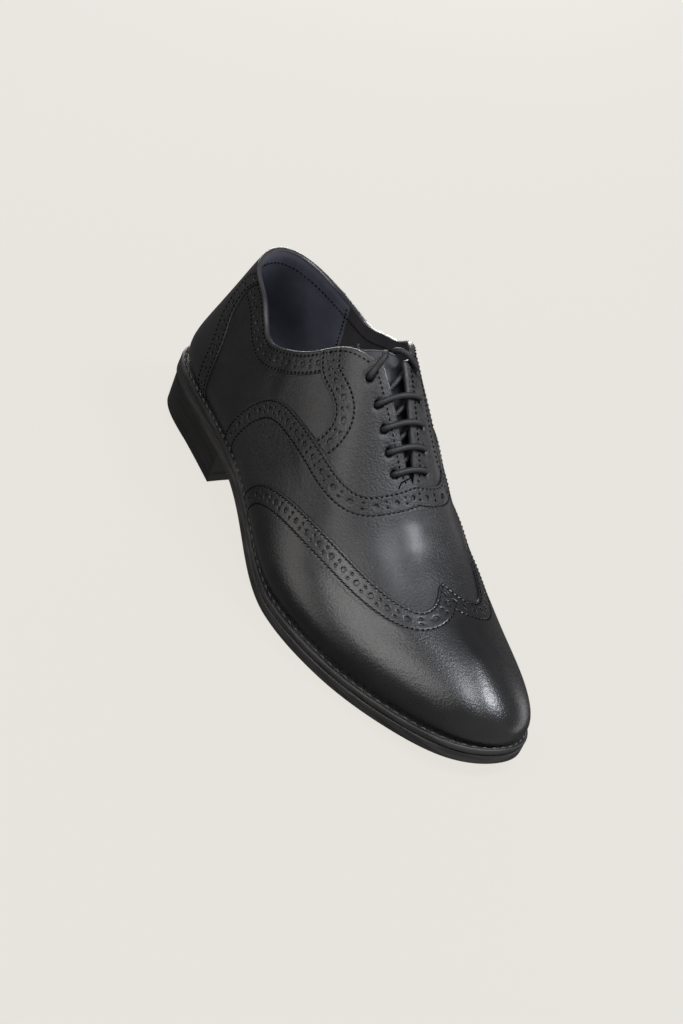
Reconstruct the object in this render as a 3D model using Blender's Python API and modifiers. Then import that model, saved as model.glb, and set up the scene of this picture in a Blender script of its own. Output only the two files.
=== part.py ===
"""A right brogue shoe in five-eyelet closed lacing, lofted from one last.

The last is a function of two values. The place runs round the feather line, where upper and sole
meet: 0 at the back of the heel, 10 at the toe by the lateral side and -10 at the toe by the medial
side, one unit to a row of the table of sections. The climb runs from 0 at the feather line to a
quarter turn at the ridge, the line along the top of the foot. Every piece is worked out from it.

X points to the toe, Y to the inner side of the foot and Z up. The shoe stands on Z = 0.
"""
import math

import bmesh
import bpy
import numpy as np

# Driving sizes, in metres
LAST_LENGTH = 0.291
BALL_WIDTH = 0.102
INSTEP_HEIGHT = 0.100
COLLAR_HEIGHT = 0.071
HEEL_HEIGHT = 0.020
HEEL_LENGTH = 0.081
TOE_SPRING = 0.0085
OUTSOLE_THICKNESS = 0.0055
WELT_THICKNESS = 0.0035
WELT_REACH = 0.0045
INSOLE_RISE = 0.0012
UPPER_WALL = 0.0022
TONGUE_WALL = 0.0018
LACE_DIAMETER = 0.0026
LACE_CLEARANCE = 0.0006
GAP = 0.0003
EYELET_FROM_EDGE = 0.0063
SOLE_EDGE_ROUND = 0.0008
HEEL_TAPER = 0.0022
HEEL_BREAST_SLANT = 0.0020
HEEL_BREAST_HOLLOW = 0.0025
SIDE_SWELL = 0.10
SIDE_SWELL_HEIGHT = 0.014

# Length shares where the sole's flats end: heel seat, tread behind the ball, tread under the toes
HEEL_SEAT_END = 0.290
TREAD_START = 0.620
TREAD_END = 0.760
SOLE_END = 1.020

# Sections: lengths as shares of LAST_LENGTH, widths as shares of BALL_WIDTH, uprightness of each side,
# and the share of WELT_REACH that shows
SECTION_COLUMNS = ("spine_x", "spine_y", "lateral_x", "lateral_y", "medial_x", "medial_y",
                   "lateral_upright", "medial_upright", "welt")
SECTIONS = np.array([
    (0.150, 0.00, 0.000, 0.000, 0.000, 0.000, 1.28, 1.28, 1.20),
    (0.155, 0.00, 0.040, -0.250, 0.040, 0.255, 1.14, 1.60, 1.10),
    (0.185, 0.00, 0.155, -0.333, 0.155, 0.333, 1.75, 2.25, 0.75),
    (0.280, 0.01, 0.280, -0.375, 0.280, 0.310, 2.00, 2.20, 0.60),
    (0.410, 0.01, 0.410, -0.425, 0.410, 0.305, 1.75, 2.30, 0.60),
    (0.535, 0.01, 0.540, -0.490, 0.540, 0.380, 1.65, 2.40, 0.80),
    (0.650, 0.01, 0.665, -0.495, 0.665, 0.470, 1.70, 2.25, 1.00),
    (0.755, 0.02, 0.790, -0.405, 0.790, 0.464, 1.90, 1.90, 1.00),
    (0.830, 0.02, 0.895, -0.270, 0.900, 0.385, 2.10, 2.00, 1.00),
    (0.865, 0.02, 0.975, -0.118, 0.978, 0.255, 2.10, 2.00, 0.95),
    (0.875, 0.02, 1.003, 0.072, 1.003, 0.072, 2.10, 2.10, 0.75),
])
LAST_ROW = len(SECTIONS) - 1

# Rows of length share, and height of the ridge above the feather line as a share of INSTEP_HEIGHT
RIDGE = np.array([
    (0.00, 1.200), (0.12, 1.120), (0.25, 1.060), (0.35, 1.050), (0.42, 1.000), (0.50, 0.890),
    (0.58, 0.727), (0.66, 0.550), (0.75, 0.425), (0.85, 0.345), (0.93, 0.289), (1.02, 0.235),
])

# Rows of place, and height of the topline above the feather line as a share of COLLAR_HEIGHT,
# first on the lateral side and then on the medial side
TOPLINE = np.array([
    (0.00, 1.000, 1.000), (0.80, 0.980, 0.940), (1.60, 0.940, 0.875), (2.20, 0.885, 0.870),
    (2.75, 0.775, 0.910), (3.20, 0.855, 1.010), (3.60, 1.030, 1.140), (3.90, 1.225, 1.290),
    (4.20, 1.300, 1.345), (4.60, 1.360, 1.380),
])

# The throat between the facings: its middle as a share of BALL_WIDTH, its half width in metres
THROAT_COLUMNS = ("place", "middle", "half_width")
THROAT = np.array([
    (3.90, -0.049, 0.0064), (4.20, -0.041, 0.0060), (5.42, -0.015, 0.0026), (5.60, -0.012, 0.0),
])
THROAT_TOP, THROAT_FOOT = THROAT[0, 0], THROAT[-1, 0]
FACING_CORNER = 4.40

# Places of the eyelets, from the foot of the throat up
EYELET_PLACES = (5.43, 5.19, 4.94, 4.67, 4.36)
EYELET_ROWS = len(EYELET_PLACES)

# The tongue: half width in metres, and depth of its face below the upper's outer face, as a share of
# the room that the lace needs, at each place; and its top edge's places at its lateral side, middle
# and medial side
TONGUE_TOP = (3.84, 4.12, 4.17)
TONGUE_COLUMNS = ("place", "half_width", "depth")
TONGUE = np.array([
    (3.86, 0.0130, 1.00), (3.93, 0.0170, 1.00), (4.10, 0.0195, 1.00), (4.60, 0.0200, 1.00),
    (5.20, 0.0180, 1.00), (5.55, 0.0165, 1.00), (5.73, 0.0158, 0.95), (6.00, 0.0145, 0.40),
])
LACE_ROOM = UPPER_WALL + LACE_DIAMETER + 3 * LACE_CLEARANCE

COLUMNS_PER_ROW = 4
UPPER_STEPS = 12
TONGUE_STEPS_ALONG = 20
TONGUE_STEPS_ACROSS = 10
EYELET_SIDES = 12
HEEL_WALL_POINTS = 41
HEEL_BREAST_POINTS = 9
SHARP_ANGLE = 40
MERGE_DISTANCE = 0.00001
LACE_SAMPLING = 0.0022

# Steps for finding slopes, as a place and as a length, and counts of rounds that settle a value
PLACE_STEP = 0.01
OUTLINE_STEP = 0.001
ACROSS_STEP = 0.0005
SWELL_ROUNDS = 3
CLIMB_ROUNDS = 12


def spline(knots, values, at, period=None):
    """A cubic spline with continuous curvature: natural at its ends, or closed after one period."""
    knots = np.asarray(knots, float)
    values = np.asarray(values, float)
    at = np.asarray(at, float)
    flat = values.ndim == 1
    if flat:
        values = values[:, None]
    if period:
        knots = np.append(knots, knots[0] + period)
        values = np.concatenate([values, values[:1]])
        at = np.mod(at - knots[0], period) + knots[0]
    count = len(knots)
    step = np.diff(knots)
    slope = np.diff(values, axis=0) / step[:, None]
    system = np.zeros((count, count))
    sides = np.zeros(values.shape)
    for row in range(1, count - 1):
        system[row, row - 1:row + 2] = step[row - 1], 2 * (step[row - 1] + step[row]), step[row]
        sides[row] = 6 * (slope[row] - slope[row - 1])
    if period:
        system[0, 0], system[0, -1] = 1, -1
        system[-1, [0, 1, -2, -1]] = 2 * step[0], step[0], step[-1], 2 * step[-1]
        sides[-1] = 6 * (slope[0] - slope[-1])
    else:
        system[0, 0] = system[-1, -1] = 1
    bend = np.linalg.solve(system, sides)
    span = np.clip(np.searchsorted(knots, at, side="right") - 1, 0, count - 2)
    t = ((at - knots[span]) / step[span])[..., None]
    width = step[span][..., None]
    result = ((1 - t) * values[span] + t * values[span + 1]
              + width ** 2 / 6 * (((1 - t) ** 3 - (1 - t)) * bend[span] + (t ** 3 - t) * bend[span + 1]))
    return result[..., 0] if flat else result


def column(table, names, name):
    """One named column of a table."""
    return table[:, names.index(name)]


def section(place):
    """Spine point, outline point, uprightness and welt share at a place, in metres and shares."""
    sides = []
    for side in ("lateral", "medial"):
        names = ("spine_x", "spine_y", side + "_x", side + "_y", side + "_upright", "welt")
        sides.append(np.stack([column(SECTIONS, SECTION_COLUMNS, name) for name in names], axis=1))
    ring = np.concatenate([sides[0], sides[1][-2:0:-1]])
    values = spline(np.arange(len(ring)), ring, place, period=len(ring))
    return values * (LAST_LENGTH, BALL_WIDTH, LAST_LENGTH, BALL_WIDTH, 1, 1)


def sole_underside(x):
    """Height of the outsole's underside: level at heel and tread, eased between, sprung at the toe."""
    share = x / LAST_LENGTH
    fall = np.clip((share - HEEL_SEAT_END) / (TREAD_START - HEEL_SEAT_END), 0, 1)
    rise = np.clip((share - TREAD_END) / (SOLE_END - TREAD_END), 0, None)
    return HEEL_HEIGHT * (1 - fall * fall * (3 - 2 * fall)) + TOE_SPRING * rise ** 2


def feather_height(x):
    """Height of the line where upper and welt meet."""
    return sole_underside(x) + OUTSOLE_THICKNESS + WELT_THICKNESS


def ridge_height(x):
    """Height of the ridge above the feather line."""
    return INSTEP_HEIGHT * spline(RIDGE[:, 0], RIDGE[:, 1], x / LAST_LENGTH)


def last(place, climb):
    """Points on the last: a superellipse from the feather line up to the ridge, swelling low on its side."""
    values = section(place)
    spine, outline, upright = values[..., 0:2], values[..., 2:4], values[..., 4]
    lift = np.abs(np.sin(climb)) ** (2 / upright)
    reach = np.cos(climb)
    for _ in range(SWELL_ROUNDS):
        plan = spine + (outline - spine) * reach[..., None]
        above = ridge_height(plan[..., 0]) * lift
        swell = above / SIDE_SWELL_HEIGHT
        reach = np.cos(climb) * (1 + SIDE_SWELL * swell * np.exp(1 - swell))
    plan = spine + (outline - spine) * reach[..., None]
    height = feather_height(plan[..., 0]) + ridge_height(plan[..., 0]) * lift
    return np.concatenate([plan, height[..., None]], axis=-1)


def outline(place, offset):
    """Plan outline of the last, moved outwards by an offset."""
    ahead = section(place + OUTLINE_STEP)[..., 2:4]
    behind = section(place - OUTLINE_STEP)[..., 2:4]
    along = ahead - behind
    along /= np.linalg.norm(along, axis=-1, keepdims=True)
    outward = np.stack([along[..., 1], -along[..., 0]], axis=-1)
    return section(place)[..., 2:4] + outward * np.asarray(offset)[..., None]


def throat(place, name):
    """Middle or half width of the throat at a place, in metres."""
    values = np.interp(np.abs(place), THROAT[:, 0], column(THROAT, THROAT_COLUMNS, name))
    return values * BALL_WIDTH if name == "middle" else values


def climb_across(place, across):
    """Climb of the point that lies at the Y value across, on the side that the place's sign names."""
    values = section(place)
    reach = (across - values[..., 1]) / np.where(place == 0, 1.0, values[..., 3] - values[..., 1])
    return np.arccos(np.clip(reach, 0, 1))


def top_climb(place):
    """Climb of the upper's top edge: the topline at the collar, the facing's edge at the throat."""
    end = TOPLINE[-1, 0]
    places = np.concatenate([-TOPLINE[:0:-1, 0], TOPLINE[:, 0]])
    shares = np.concatenate([TOPLINE[:0:-1, 2], TOPLINE[:, 1]])
    rise = COLLAR_HEIGHT * spline(places, shares, np.clip(place, -end, end))
    upright = section(place)[..., 4]
    climb = np.full(place.shape, math.pi / 4)
    for _ in range(CLIMB_ROUNDS):
        lift = np.clip(rise / ridge_height(last(place, climb)[..., 0]), 0, 1)
        climb = (climb + np.arcsin(lift ** (upright / 2))) / 2
    climb = np.where(np.abs(place) > FACING_CORNER, math.pi / 2, climb)
    edge = throat(place, "middle") - np.sign(place) * throat(place, "half_width")
    facing = climb_across(place, edge)
    inside = (np.abs(place) > THROAT_TOP) & (np.abs(place) < THROAT_FOOT)
    return np.minimum(climb, np.where(inside, facing, math.pi / 2))


def instep(place, across, level):
    """A point over the instep at a place and a Y value, raised by a level along the last's normal."""
    place, across, level = np.broadcast_arrays(*(np.asarray(v, float) for v in (place, across, level)))

    def foot(at, y):
        signed = np.where(y > section(at)[..., 1], -at, at)
        return last(signed, climb_across(signed, y))

    forward = foot(place + PLACE_STEP, across) - foot(place - PLACE_STEP, across)
    inward = foot(place, across + ACROSS_STEP) - foot(place, across - ACROSS_STEP)
    normal = np.cross(forward, inward)
    normal /= np.linalg.norm(normal, axis=-1, keepdims=True)
    return foot(place, across) + normal * level[..., None]


def ground_shift():
    """What moves the model so that its outer box is centred on the origin."""
    places = np.linspace(-LAST_ROW, LAST_ROW, 801)
    edge = outline(places, WELT_REACH * section(places)[..., 5])
    low, high = edge.min(axis=0), edge.max(axis=0)
    return np.array([-(low[0] + high[0]) / 2, -(low[1] + high[1]) / 2, 0.0])


def add_object(name, points, faces, material):
    """A mesh object in the part's collection, shaded smooth but for its sharp edges."""
    mesh = bpy.data.meshes.new(name)
    mesh.from_pydata([tuple(p) for p in np.asarray(points) + SHIFT], [], faces)
    mesh.materials.append(material)
    tidy = bmesh.new()
    tidy.from_mesh(mesh)
    bmesh.ops.remove_doubles(tidy, verts=tidy.verts, dist=MERGE_DISTANCE)
    bmesh.ops.recalc_face_normals(tidy, faces=tidy.faces)
    tidy.to_mesh(mesh)
    tidy.free()
    mesh.shade_smooth()
    mesh.set_sharp_from_angle(angle=math.radians(SHARP_ANGLE))
    piece = bpy.data.objects.new(name, mesh)
    PARTS.objects.link(piece)
    return piece


def grid_faces(rows, columns, closed=False):
    """Quads of a grid of points whose rows follow one another in the list."""
    faces = []
    for row in range(rows - 1):
        for step in range(columns if closed else columns - 1):
            after = (step + 1) % columns
            faces.append((row * columns + step, row * columns + after,
                          (row + 1) * columns + after, (row + 1) * columns + step))
    return faces


def ladder(start, half):
    """Quads across a ring of 2 * half points, each joining one side to the other at the same step."""
    ring = 2 * half
    faces = [(start, start + 1, start + ring - 1)]
    for step in range(1, half - 1):
        faces.append((start + step, start + step + 1, start + ring - step - 1, start + ring - step))
    faces.append((start + half - 1, start + half, start + half + 1))
    return faces


def plate(name, rings, material):
    """A closed plate skinned over rings of points, its two ends laddered across from side to side."""
    size = len(rings[0])
    faces = grid_faces(len(rings), size, closed=True)
    faces += ladder(0, size // 2)
    faces += ladder((len(rings) - 1) * size, size // 2)
    return add_object(name, np.concatenate(rings), faces, material)


def ring_places(per_row):
    """Places once round the feather line from the heel back."""
    count = 2 * LAST_ROW * per_row
    places = np.arange(count) / per_row
    return np.where(places > LAST_ROW, places - 2 * LAST_ROW, places)


def sole_ring(offset, share_of_reach, height):
    """A ring of the sole: an offset from the last with a share of the welt's reach, at a height over x."""
    places = ring_places(COLUMNS_PER_ROW)
    reach = WELT_REACH * section(places)[..., 5] * share_of_reach
    plan = outline(places, reach + offset)
    return np.column_stack([plan, height(plan[:, 0])])


def outsole_top(x):
    """Height of the outsole's upper face."""
    return sole_underside(x) + OUTSOLE_THICKNESS


def build_outsole():
    """The outsole: a bent plate with rounded edges."""
    rounded = SOLE_EDGE_ROUND
    rings = [
        sole_ring(-rounded, 1, sole_underside),
        sole_ring(0, 1, lambda x: sole_underside(x) + rounded),
        sole_ring(0, 1, lambda x: outsole_top(x) - rounded),
        sole_ring(-rounded, 1, outsole_top),
    ]
    return plate("outsole", rings, make_material("sole_leather", (0.030, 0.028, 0.028), 0.45))


def build_welt():
    """The welt: a ring between outsole and upper, open where the insole lies."""
    inner = -(UPPER_WALL + GAP)
    rounded = SOLE_EDGE_ROUND
    rings = [
        sole_ring(inner, 0, lambda x: outsole_top(x) + GAP),
        sole_ring(-rounded, 1, lambda x: outsole_top(x) + GAP),
        sole_ring(0, 1, lambda x: outsole_top(x) + GAP + rounded),
        sole_ring(0, 1, lambda x: feather_height(x) - rounded),
        sole_ring(-rounded, 1, feather_height),
        sole_ring(inner, 0, feather_height),
    ]
    rings.append(rings[0])
    faces = grid_faces(len(rings), len(rings[0]), closed=True)
    material = make_material("welt_leather", (0.035, 0.032, 0.030), 0.5)
    return add_object("welt", np.concatenate(rings), faces, material)


def build_insole():
    """The insole, which fills the welt and shows inside the shoe."""
    edge = -(UPPER_WALL + 2 * GAP)
    rounded = SOLE_EDGE_ROUND
    rings = [
        sole_ring(edge, 0, lambda x: outsole_top(x) + GAP),
        sole_ring(edge, 0, lambda x: feather_height(x) - GAP),
        sole_ring(edge - 2 * rounded, 0, lambda x: feather_height(x) + INSOLE_RISE),
    ]
    return plate("insole", rings, make_material("insole_leather", (0.10, 0.105, 0.12), 0.6))


def heel_ring(height):
    """The heel's outline at a height: tapered along its sides, with a breast that slants and is hollow."""
    drop = 1 - height / HEEL_HEIGHT

    def wall(places):
        taper = HEEL_TAPER * drop * np.minimum(np.abs(places) / 2, 1) + SOLE_EDGE_ROUND
        return outline(places, WELT_REACH * section(places)[..., 5] - taper)

    breast = HEEL_LENGTH - HEEL_BREAST_SLANT * drop
    search = np.linspace(1, 4, 121)
    medial, lateral = (np.interp(breast, wall(side * search)[:, 0], search) for side in (-1, 1))
    sides = wall(np.linspace(-medial, lateral, HEEL_WALL_POINTS))
    across = np.linspace(-1, 1, HEEL_BREAST_POINTS)[1:-1, None]
    front = sides[-1] + (sides[0] - sides[-1]) * (across + 1) / 2
    front[:, :1] -= HEEL_BREAST_HOLLOW * (1 - across ** 2)
    plan = np.concatenate([sides, front])
    return np.column_stack([plan, np.full(len(plan), height)])


def build_heel():
    """The stacked heel block under the seat."""
    rings = [heel_ring(height) for height in (0.0, HEEL_HEIGHT / 2, HEEL_HEIGHT - GAP)]
    size = len(rings[0])
    faces = grid_faces(len(rings), size, closed=True)
    faces.append(tuple(range(size)))
    faces.append(tuple(range((len(rings) - 1) * size, len(rings) * size)))
    material = make_material("heel_stack", (0.028, 0.026, 0.026), 0.4)
    return add_object("heel", np.concatenate(rings), faces, material)


def eyelet_place(row):
    """Place of an eyelet row, counted from the foot of the throat."""
    return EYELET_PLACES[row]


def eyelet_across(place, side):
    """Y of an eyelet, inside the facing's edge: side is -1 for the lateral facing and 1 for the medial."""
    return throat(place, "middle") + side * (throat(place, "half_width") + EYELET_FROM_EDGE)


def eyelet_cutter(row, side, material):
    """A round pin through the facing at one eyelet."""
    place = eyelet_place(row)
    across = eyelet_across(place, side)
    low, high = instep(place, across, np.array([-3 * UPPER_WALL, 3 * UPPER_WALL]))
    axis = (high - low) / np.linalg.norm(high - low)
    first = np.cross(axis, (1.0, 0.0, 0.0))
    first /= np.linalg.norm(first)
    second = np.cross(axis, first)
    turns = 2 * math.pi * np.arange(EYELET_SIDES) / EYELET_SIDES
    radius = LACE_DIAMETER / 2 + LACE_CLEARANCE
    circle = radius * (np.cos(turns)[:, None] * first + np.sin(turns)[:, None] * second)
    points = np.concatenate([low + circle, high + circle])
    faces = grid_faces(2, EYELET_SIDES, closed=True)
    faces += [tuple(range(EYELET_SIDES)), tuple(range(EYELET_SIDES, 2 * EYELET_SIDES))]
    name = "eyelet_cutter_%d_%s" % (row + 1, "lateral" if side < 0 else "medial")
    pin = add_object(name, points, faces, material)
    PARTS.objects.unlink(pin)
    CUTTERS.objects.link(pin)
    pin.hide_render = True
    pin.display_type = "WIRE"
    return pin


def build_upper():
    """The upper: one leather shell over the last, open underneath, at the collar and at the throat."""
    places = ring_places(COLUMNS_PER_ROW)
    top = top_climb(places)
    share = np.linspace(0, 1, UPPER_STEPS + 1)[:, None]
    points = last(np.broadcast_to(places, (len(share), len(places))), share * top)
    points[..., 2] += GAP
    faces = grid_faces(len(share), len(places), closed=True)
    material = make_material("calf_leather", (0.020, 0.020, 0.022), 0.35)
    upper = add_object("upper", points.reshape(-1, 3), faces, material)
    wall = upper.modifiers.new("wall", "SOLIDIFY")
    wall.thickness = UPPER_WALL
    wall.offset = -1
    for row in range(EYELET_ROWS):
        for side in (-1, 1):
            hole = upper.modifiers.new("eyelet", "BOOLEAN")
            hole.object = eyelet_cutter(row, side, material)
            hole.operation = "DIFFERENCE"
            hole.solver = "EXACT"
    return upper


def tongue_top(across):
    """Place of the tongue's top edge at a share across from -1 to 1: a parabola through its three places."""
    lateral, middle, medial = TONGUE_TOP
    return middle + (medial - lateral) / 2 * across + ((medial + lateral) / 2 - middle) * across ** 2


def build_tongue():
    """The tongue: a leather sheet under the facings, sewn in under the vamp."""
    across = np.linspace(-1, 1, TONGUE_STEPS_ACROSS + 1)[None, :]
    share = np.linspace(0, 1, TONGUE_STEPS_ALONG + 1)[:, None]
    along = tongue_top(across) * (1 - share) + TONGUE[-1, 0] * share
    half_width = np.interp(along, TONGUE[:, 0], column(TONGUE, TONGUE_COLUMNS, "half_width"))
    depth = np.interp(along, TONGUE[:, 0], column(TONGUE, TONGUE_COLUMNS, "depth")) * LACE_ROOM
    middle = throat(along, "middle")
    points = instep(along, middle + across * half_width, -depth)
    faces = grid_faces(TONGUE_STEPS_ALONG + 1, TONGUE_STEPS_ACROSS + 1)
    material = make_material("tongue_leather", (0.03, 0.03, 0.03), 0.5)
    tongue = add_object("tongue", points.reshape(-1, 3), faces, material)
    wall = tongue.modifiers.new("wall", "SOLIDIFY")
    wall.thickness = TONGUE_WALL
    wall.offset = -1
    return tongue


def make_material(name, colour, roughness):
    """A plain Principled material."""
    material = bpy.data.materials.new(name)
    material.use_nodes = True
    shader = material.node_tree.nodes["Principled BSDF"]
    shader.inputs["Base Color"].default_value = (*colour, 1)
    shader.inputs["Roughness"].default_value = roughness
    shader.inputs["Metallic"].default_value = 0.0
    return material


# The lace's turn through an eyelet: distance from the eyelet's axis towards the throat or the next
# eyelet, as a share of LACE_DIAMETER, and level, as a share of the outer or the inner level
TURN_OUTSIDE = ((1.35, 1.00), (0.75, 1.00), (0.22, 0.72))
TURN_INSIDE = ((0.22, 0.78), (0.75, 1.00), (1.35, 1.00))


def lace_stops():
    """The lace's route as place, Y and level, from one tucked end to the other."""
    outside = LACE_DIAMETER / 2 + LACE_CLEARANCE
    inside = -(UPPER_WALL + LACE_DIAMETER / 2 + LACE_CLEARANCE)
    place_step = LAST_LENGTH * (SECTIONS[5, 0] - SECTIONS[4, 0])

    def eyelet(row, side):
        place = eyelet_place(row)
        return np.array([place, eyelet_across(place, side)])

    def turn(here, towards, table, level):
        heading = (towards - here) * (place_step, 1)
        heading = heading / np.linalg.norm(heading) / (place_step, 1)
        return [(*(here + heading * away * LACE_DIAMETER), level * share) for away, share in table]

    def into(here, origin, target):
        middle = [(*here, -UPPER_WALL / 2)]
        return (turn(here, origin, TURN_OUTSIDE, outside) + middle + turn(here, target, TURN_INSIDE, inside))

    def out_of(here, origin, target):
        return into(here, target, origin)[::-1]

    top = EYELET_ROWS - 1
    stops = []
    for side in (-1, 1):
        here = eyelet(top, side)
        ends = ((0.19, 1.45, inside), (0.17, 1.36, 0.0), (0.13, 1.12, 1.15 * outside))
        tuck = [(*(here + (-rise, -side * EYELET_FROM_EDGE * away)), level) for rise, away, level in ends]
        stops.append((here, np.array(tuck[-1][:2]), tuck))
    route = list(stops[0][2])
    outboard = np.array([0.0, -1.15 * LACE_DIAMETER - EYELET_FROM_EDGE * 0.1])
    run = [eyelet(row, -1) + outboard for row in range(top, -1, -1)]
    foot = eyelet(0, -1) + np.array([0.16, -0.3 * LACE_DIAMETER])
    cross = [eyelet(0, 0) + np.array([0.235, 0.0]), eyelet(0, 1) + np.array([0.175, -0.2 * LACE_DIAMETER])]
    route += into(stops[0][0], stops[0][1], run[1])
    route += [(*point, inside) for point in run[1:]]
    route += [(*point, inside) for point in [foot] + cross]
    previous = cross[-1]
    for row in range(top):
        right, left = eyelet(row, 1), eyelet(row, -1)
        route += out_of(right, previous, left)
        route += [(*(0.5 * (right + left)), outside)]
        following = eyelet(row + 1, 1)
        route += into(left, right, following)
        previous = left
    route += out_of(stops[1][0], previous, stops[1][1])
    route += stops[1][2][::-1]
    return np.array(route)


def build_lace():
    """The lace: one round cord through all the eyelets, in bars across the throat."""
    stops = lace_stops()
    points = instep(stops[:, 0], stops[:, 1], stops[:, 2]) + SHIFT
    run = np.concatenate([[0], np.cumsum(np.linalg.norm(np.diff(points, axis=0), axis=1))])
    spans = []
    for start, end in zip(run, run[1:]):
        count = max(2, int((end - start) / LACE_SAMPLING) + 1)
        spans.append(np.linspace(start, end, count, endpoint=False))
    steps = np.concatenate(spans + [run[-1:]])
    smooth = spline(run, points, steps)
    curve = bpy.data.curves.new("lace", "CURVE")
    curve.dimensions = "3D"
    curve.bevel_depth = LACE_DIAMETER / 2
    curve.bevel_resolution = 2
    curve.use_fill_caps = True
    line = curve.splines.new("POLY")
    line.points.add(len(smooth) - 1)
    for point, place in zip(line.points, smooth):
        point.co = (*place, 1)
    curve.materials.append(make_material("waxed_cotton", (0.03, 0.03, 0.032), 0.6))
    lace = bpy.data.objects.new("lace", curve)
    PARTS.objects.link(lace)
    return lace


def clear_scene():
    """Remove what the scene holds."""
    for existing in list(bpy.data.objects):
        bpy.data.objects.remove(existing, do_unlink=True)


def new_collection(name):
    """A collection linked to the scene."""
    collection = bpy.data.collections.new(name)
    bpy.context.scene.collection.children.link(collection)
    return collection


clear_scene()
PARTS = new_collection("brogue_shoe")
CUTTERS = new_collection("cutters")
SHIFT = ground_shift()

build_outsole()
build_welt()
build_insole()
build_heel()
build_upper()
build_tongue()
build_lace()
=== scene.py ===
"""Looks of a right brogue shoe in black calf: panels, punching, stitching, sole and lace over the frame.

Every surface comes from the last that the frame's solids were made on. A spot on it is a pair: the
place along the foot, from 0 at the heel's back to 10 at the toe, and the climb in degrees, from 0 at
the outer feather line over 90 at the ridge to 180 at the inner feather line. A level is a height
above the last's skin along its normal. X points to the toe, Y to the inner side and Z up.
"""
import functools
import math

import bmesh
import bpy
import numpy as np
from bpy.props import FloatProperty, FloatVectorProperty, PointerProperty
from mathutils import Matrix, Vector, geometry


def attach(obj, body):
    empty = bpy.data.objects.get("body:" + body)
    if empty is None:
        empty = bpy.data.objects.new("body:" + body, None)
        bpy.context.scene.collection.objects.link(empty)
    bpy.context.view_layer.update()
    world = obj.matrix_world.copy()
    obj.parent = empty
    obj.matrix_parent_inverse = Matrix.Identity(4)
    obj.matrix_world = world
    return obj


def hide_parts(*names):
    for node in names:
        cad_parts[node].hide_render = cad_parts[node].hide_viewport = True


bl_info = {
    "name": "Brogue Shoe Leatherwork",
    "version": (1, 0, 0),
    "blender": (4, 5, 0),
    "location": "View3D > Sidebar > Brogue",
    "description": "Builds the panels, punching, stitching, sole finish and lace of a brogue shoe",
    "category": "Mesh",
}

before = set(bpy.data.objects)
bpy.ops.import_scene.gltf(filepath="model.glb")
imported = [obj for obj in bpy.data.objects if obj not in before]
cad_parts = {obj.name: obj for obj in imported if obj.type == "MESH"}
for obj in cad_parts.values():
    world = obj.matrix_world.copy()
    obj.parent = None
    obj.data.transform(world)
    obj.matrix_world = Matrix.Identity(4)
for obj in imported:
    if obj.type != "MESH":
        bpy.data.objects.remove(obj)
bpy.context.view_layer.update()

# The last's sizes, in metres, as the frame's solids were made
LAST_LENGTH = 0.291
BALL_WIDTH = 0.102
INSTEP_HEIGHT = 0.100
COLLAR_HEIGHT = 0.071
HEEL_HEIGHT = 0.020
HEEL_LENGTH = 0.081
TOE_SPRING = 0.0085
OUTSOLE_THICKNESS = 0.0055
WELT_THICKNESS = 0.0035
WELT_REACH = 0.0045
INSOLE_RISE = 0.0012
UPPER_WALL = 0.0022
TONGUE_WALL = 0.0018
LACE_DIAMETER = 0.0026
LACE_CLEARANCE = 0.0006
GAP = 0.0003
EYELET_FROM_EDGE = 0.0063
SOLE_EDGE_ROUND = 0.0008
HEEL_TAPER = 0.0022
HEEL_BREAST_SLANT = 0.0020
HEEL_BREAST_HOLLOW = 0.0025
SIDE_SWELL = 0.10
SIDE_SWELL_HEIGHT = 0.014
HEEL_SEAT_END = 0.290
TREAD_START = 0.620
TREAD_END = 0.760
SOLE_END = 1.020

SECTION_COLUMNS = ("spine_x", "spine_y", "lateral_x", "lateral_y", "medial_x", "medial_y",
                   "lateral_upright", "medial_upright", "welt")
SECTIONS = np.array([
    (0.150, 0.00, 0.000, 0.000, 0.000, 0.000, 1.28, 1.28, 1.20),
    (0.155, 0.00, 0.040, -0.250, 0.040, 0.255, 1.14, 1.60, 1.10),
    (0.185, 0.00, 0.155, -0.333, 0.155, 0.333, 1.75, 2.25, 0.75),
    (0.280, 0.01, 0.280, -0.375, 0.280, 0.310, 2.00, 2.20, 0.60),
    (0.410, 0.01, 0.410, -0.425, 0.410, 0.305, 1.75, 2.30, 0.60),
    (0.535, 0.01, 0.540, -0.490, 0.540, 0.380, 1.65, 2.40, 0.80),
    (0.650, 0.01, 0.665, -0.495, 0.665, 0.470, 1.70, 2.25, 1.00),
    (0.755, 0.02, 0.790, -0.405, 0.790, 0.464, 1.90, 1.90, 1.00),
    (0.830, 0.02, 0.895, -0.270, 0.900, 0.385, 2.10, 2.00, 1.00),
    (0.865, 0.02, 0.975, -0.118, 0.978, 0.255, 2.10, 2.00, 0.95),
    (0.875, 0.02, 1.003, 0.072, 1.003, 0.072, 2.10, 2.10, 0.75),
])
TOE = len(SECTIONS) - 1
RIDGE = np.array([
    (0.00, 1.200), (0.12, 1.120), (0.25, 1.060), (0.35, 1.050), (0.42, 1.000), (0.50, 0.890),
    (0.58, 0.727), (0.66, 0.550), (0.75, 0.425), (0.85, 0.345), (0.93, 0.289), (1.02, 0.235),
])
TOPLINE = np.array([
    (0.00, 1.000, 1.000), (0.80, 0.980, 0.940), (1.60, 0.940, 0.875), (2.20, 0.885, 0.870),
    (2.75, 0.775, 0.910), (3.20, 0.855, 1.010), (3.60, 1.030, 1.140), (3.90, 1.225, 1.290),
    (4.20, 1.300, 1.345), (4.60, 1.360, 1.380),
])
THROAT_COLUMNS = ("place", "middle", "half_width")
THROAT = np.array([
    (3.90, -0.049, 0.0064), (4.20, -0.041, 0.0060), (5.42, -0.015, 0.0026), (5.60, -0.012, 0.0),
])
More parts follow.
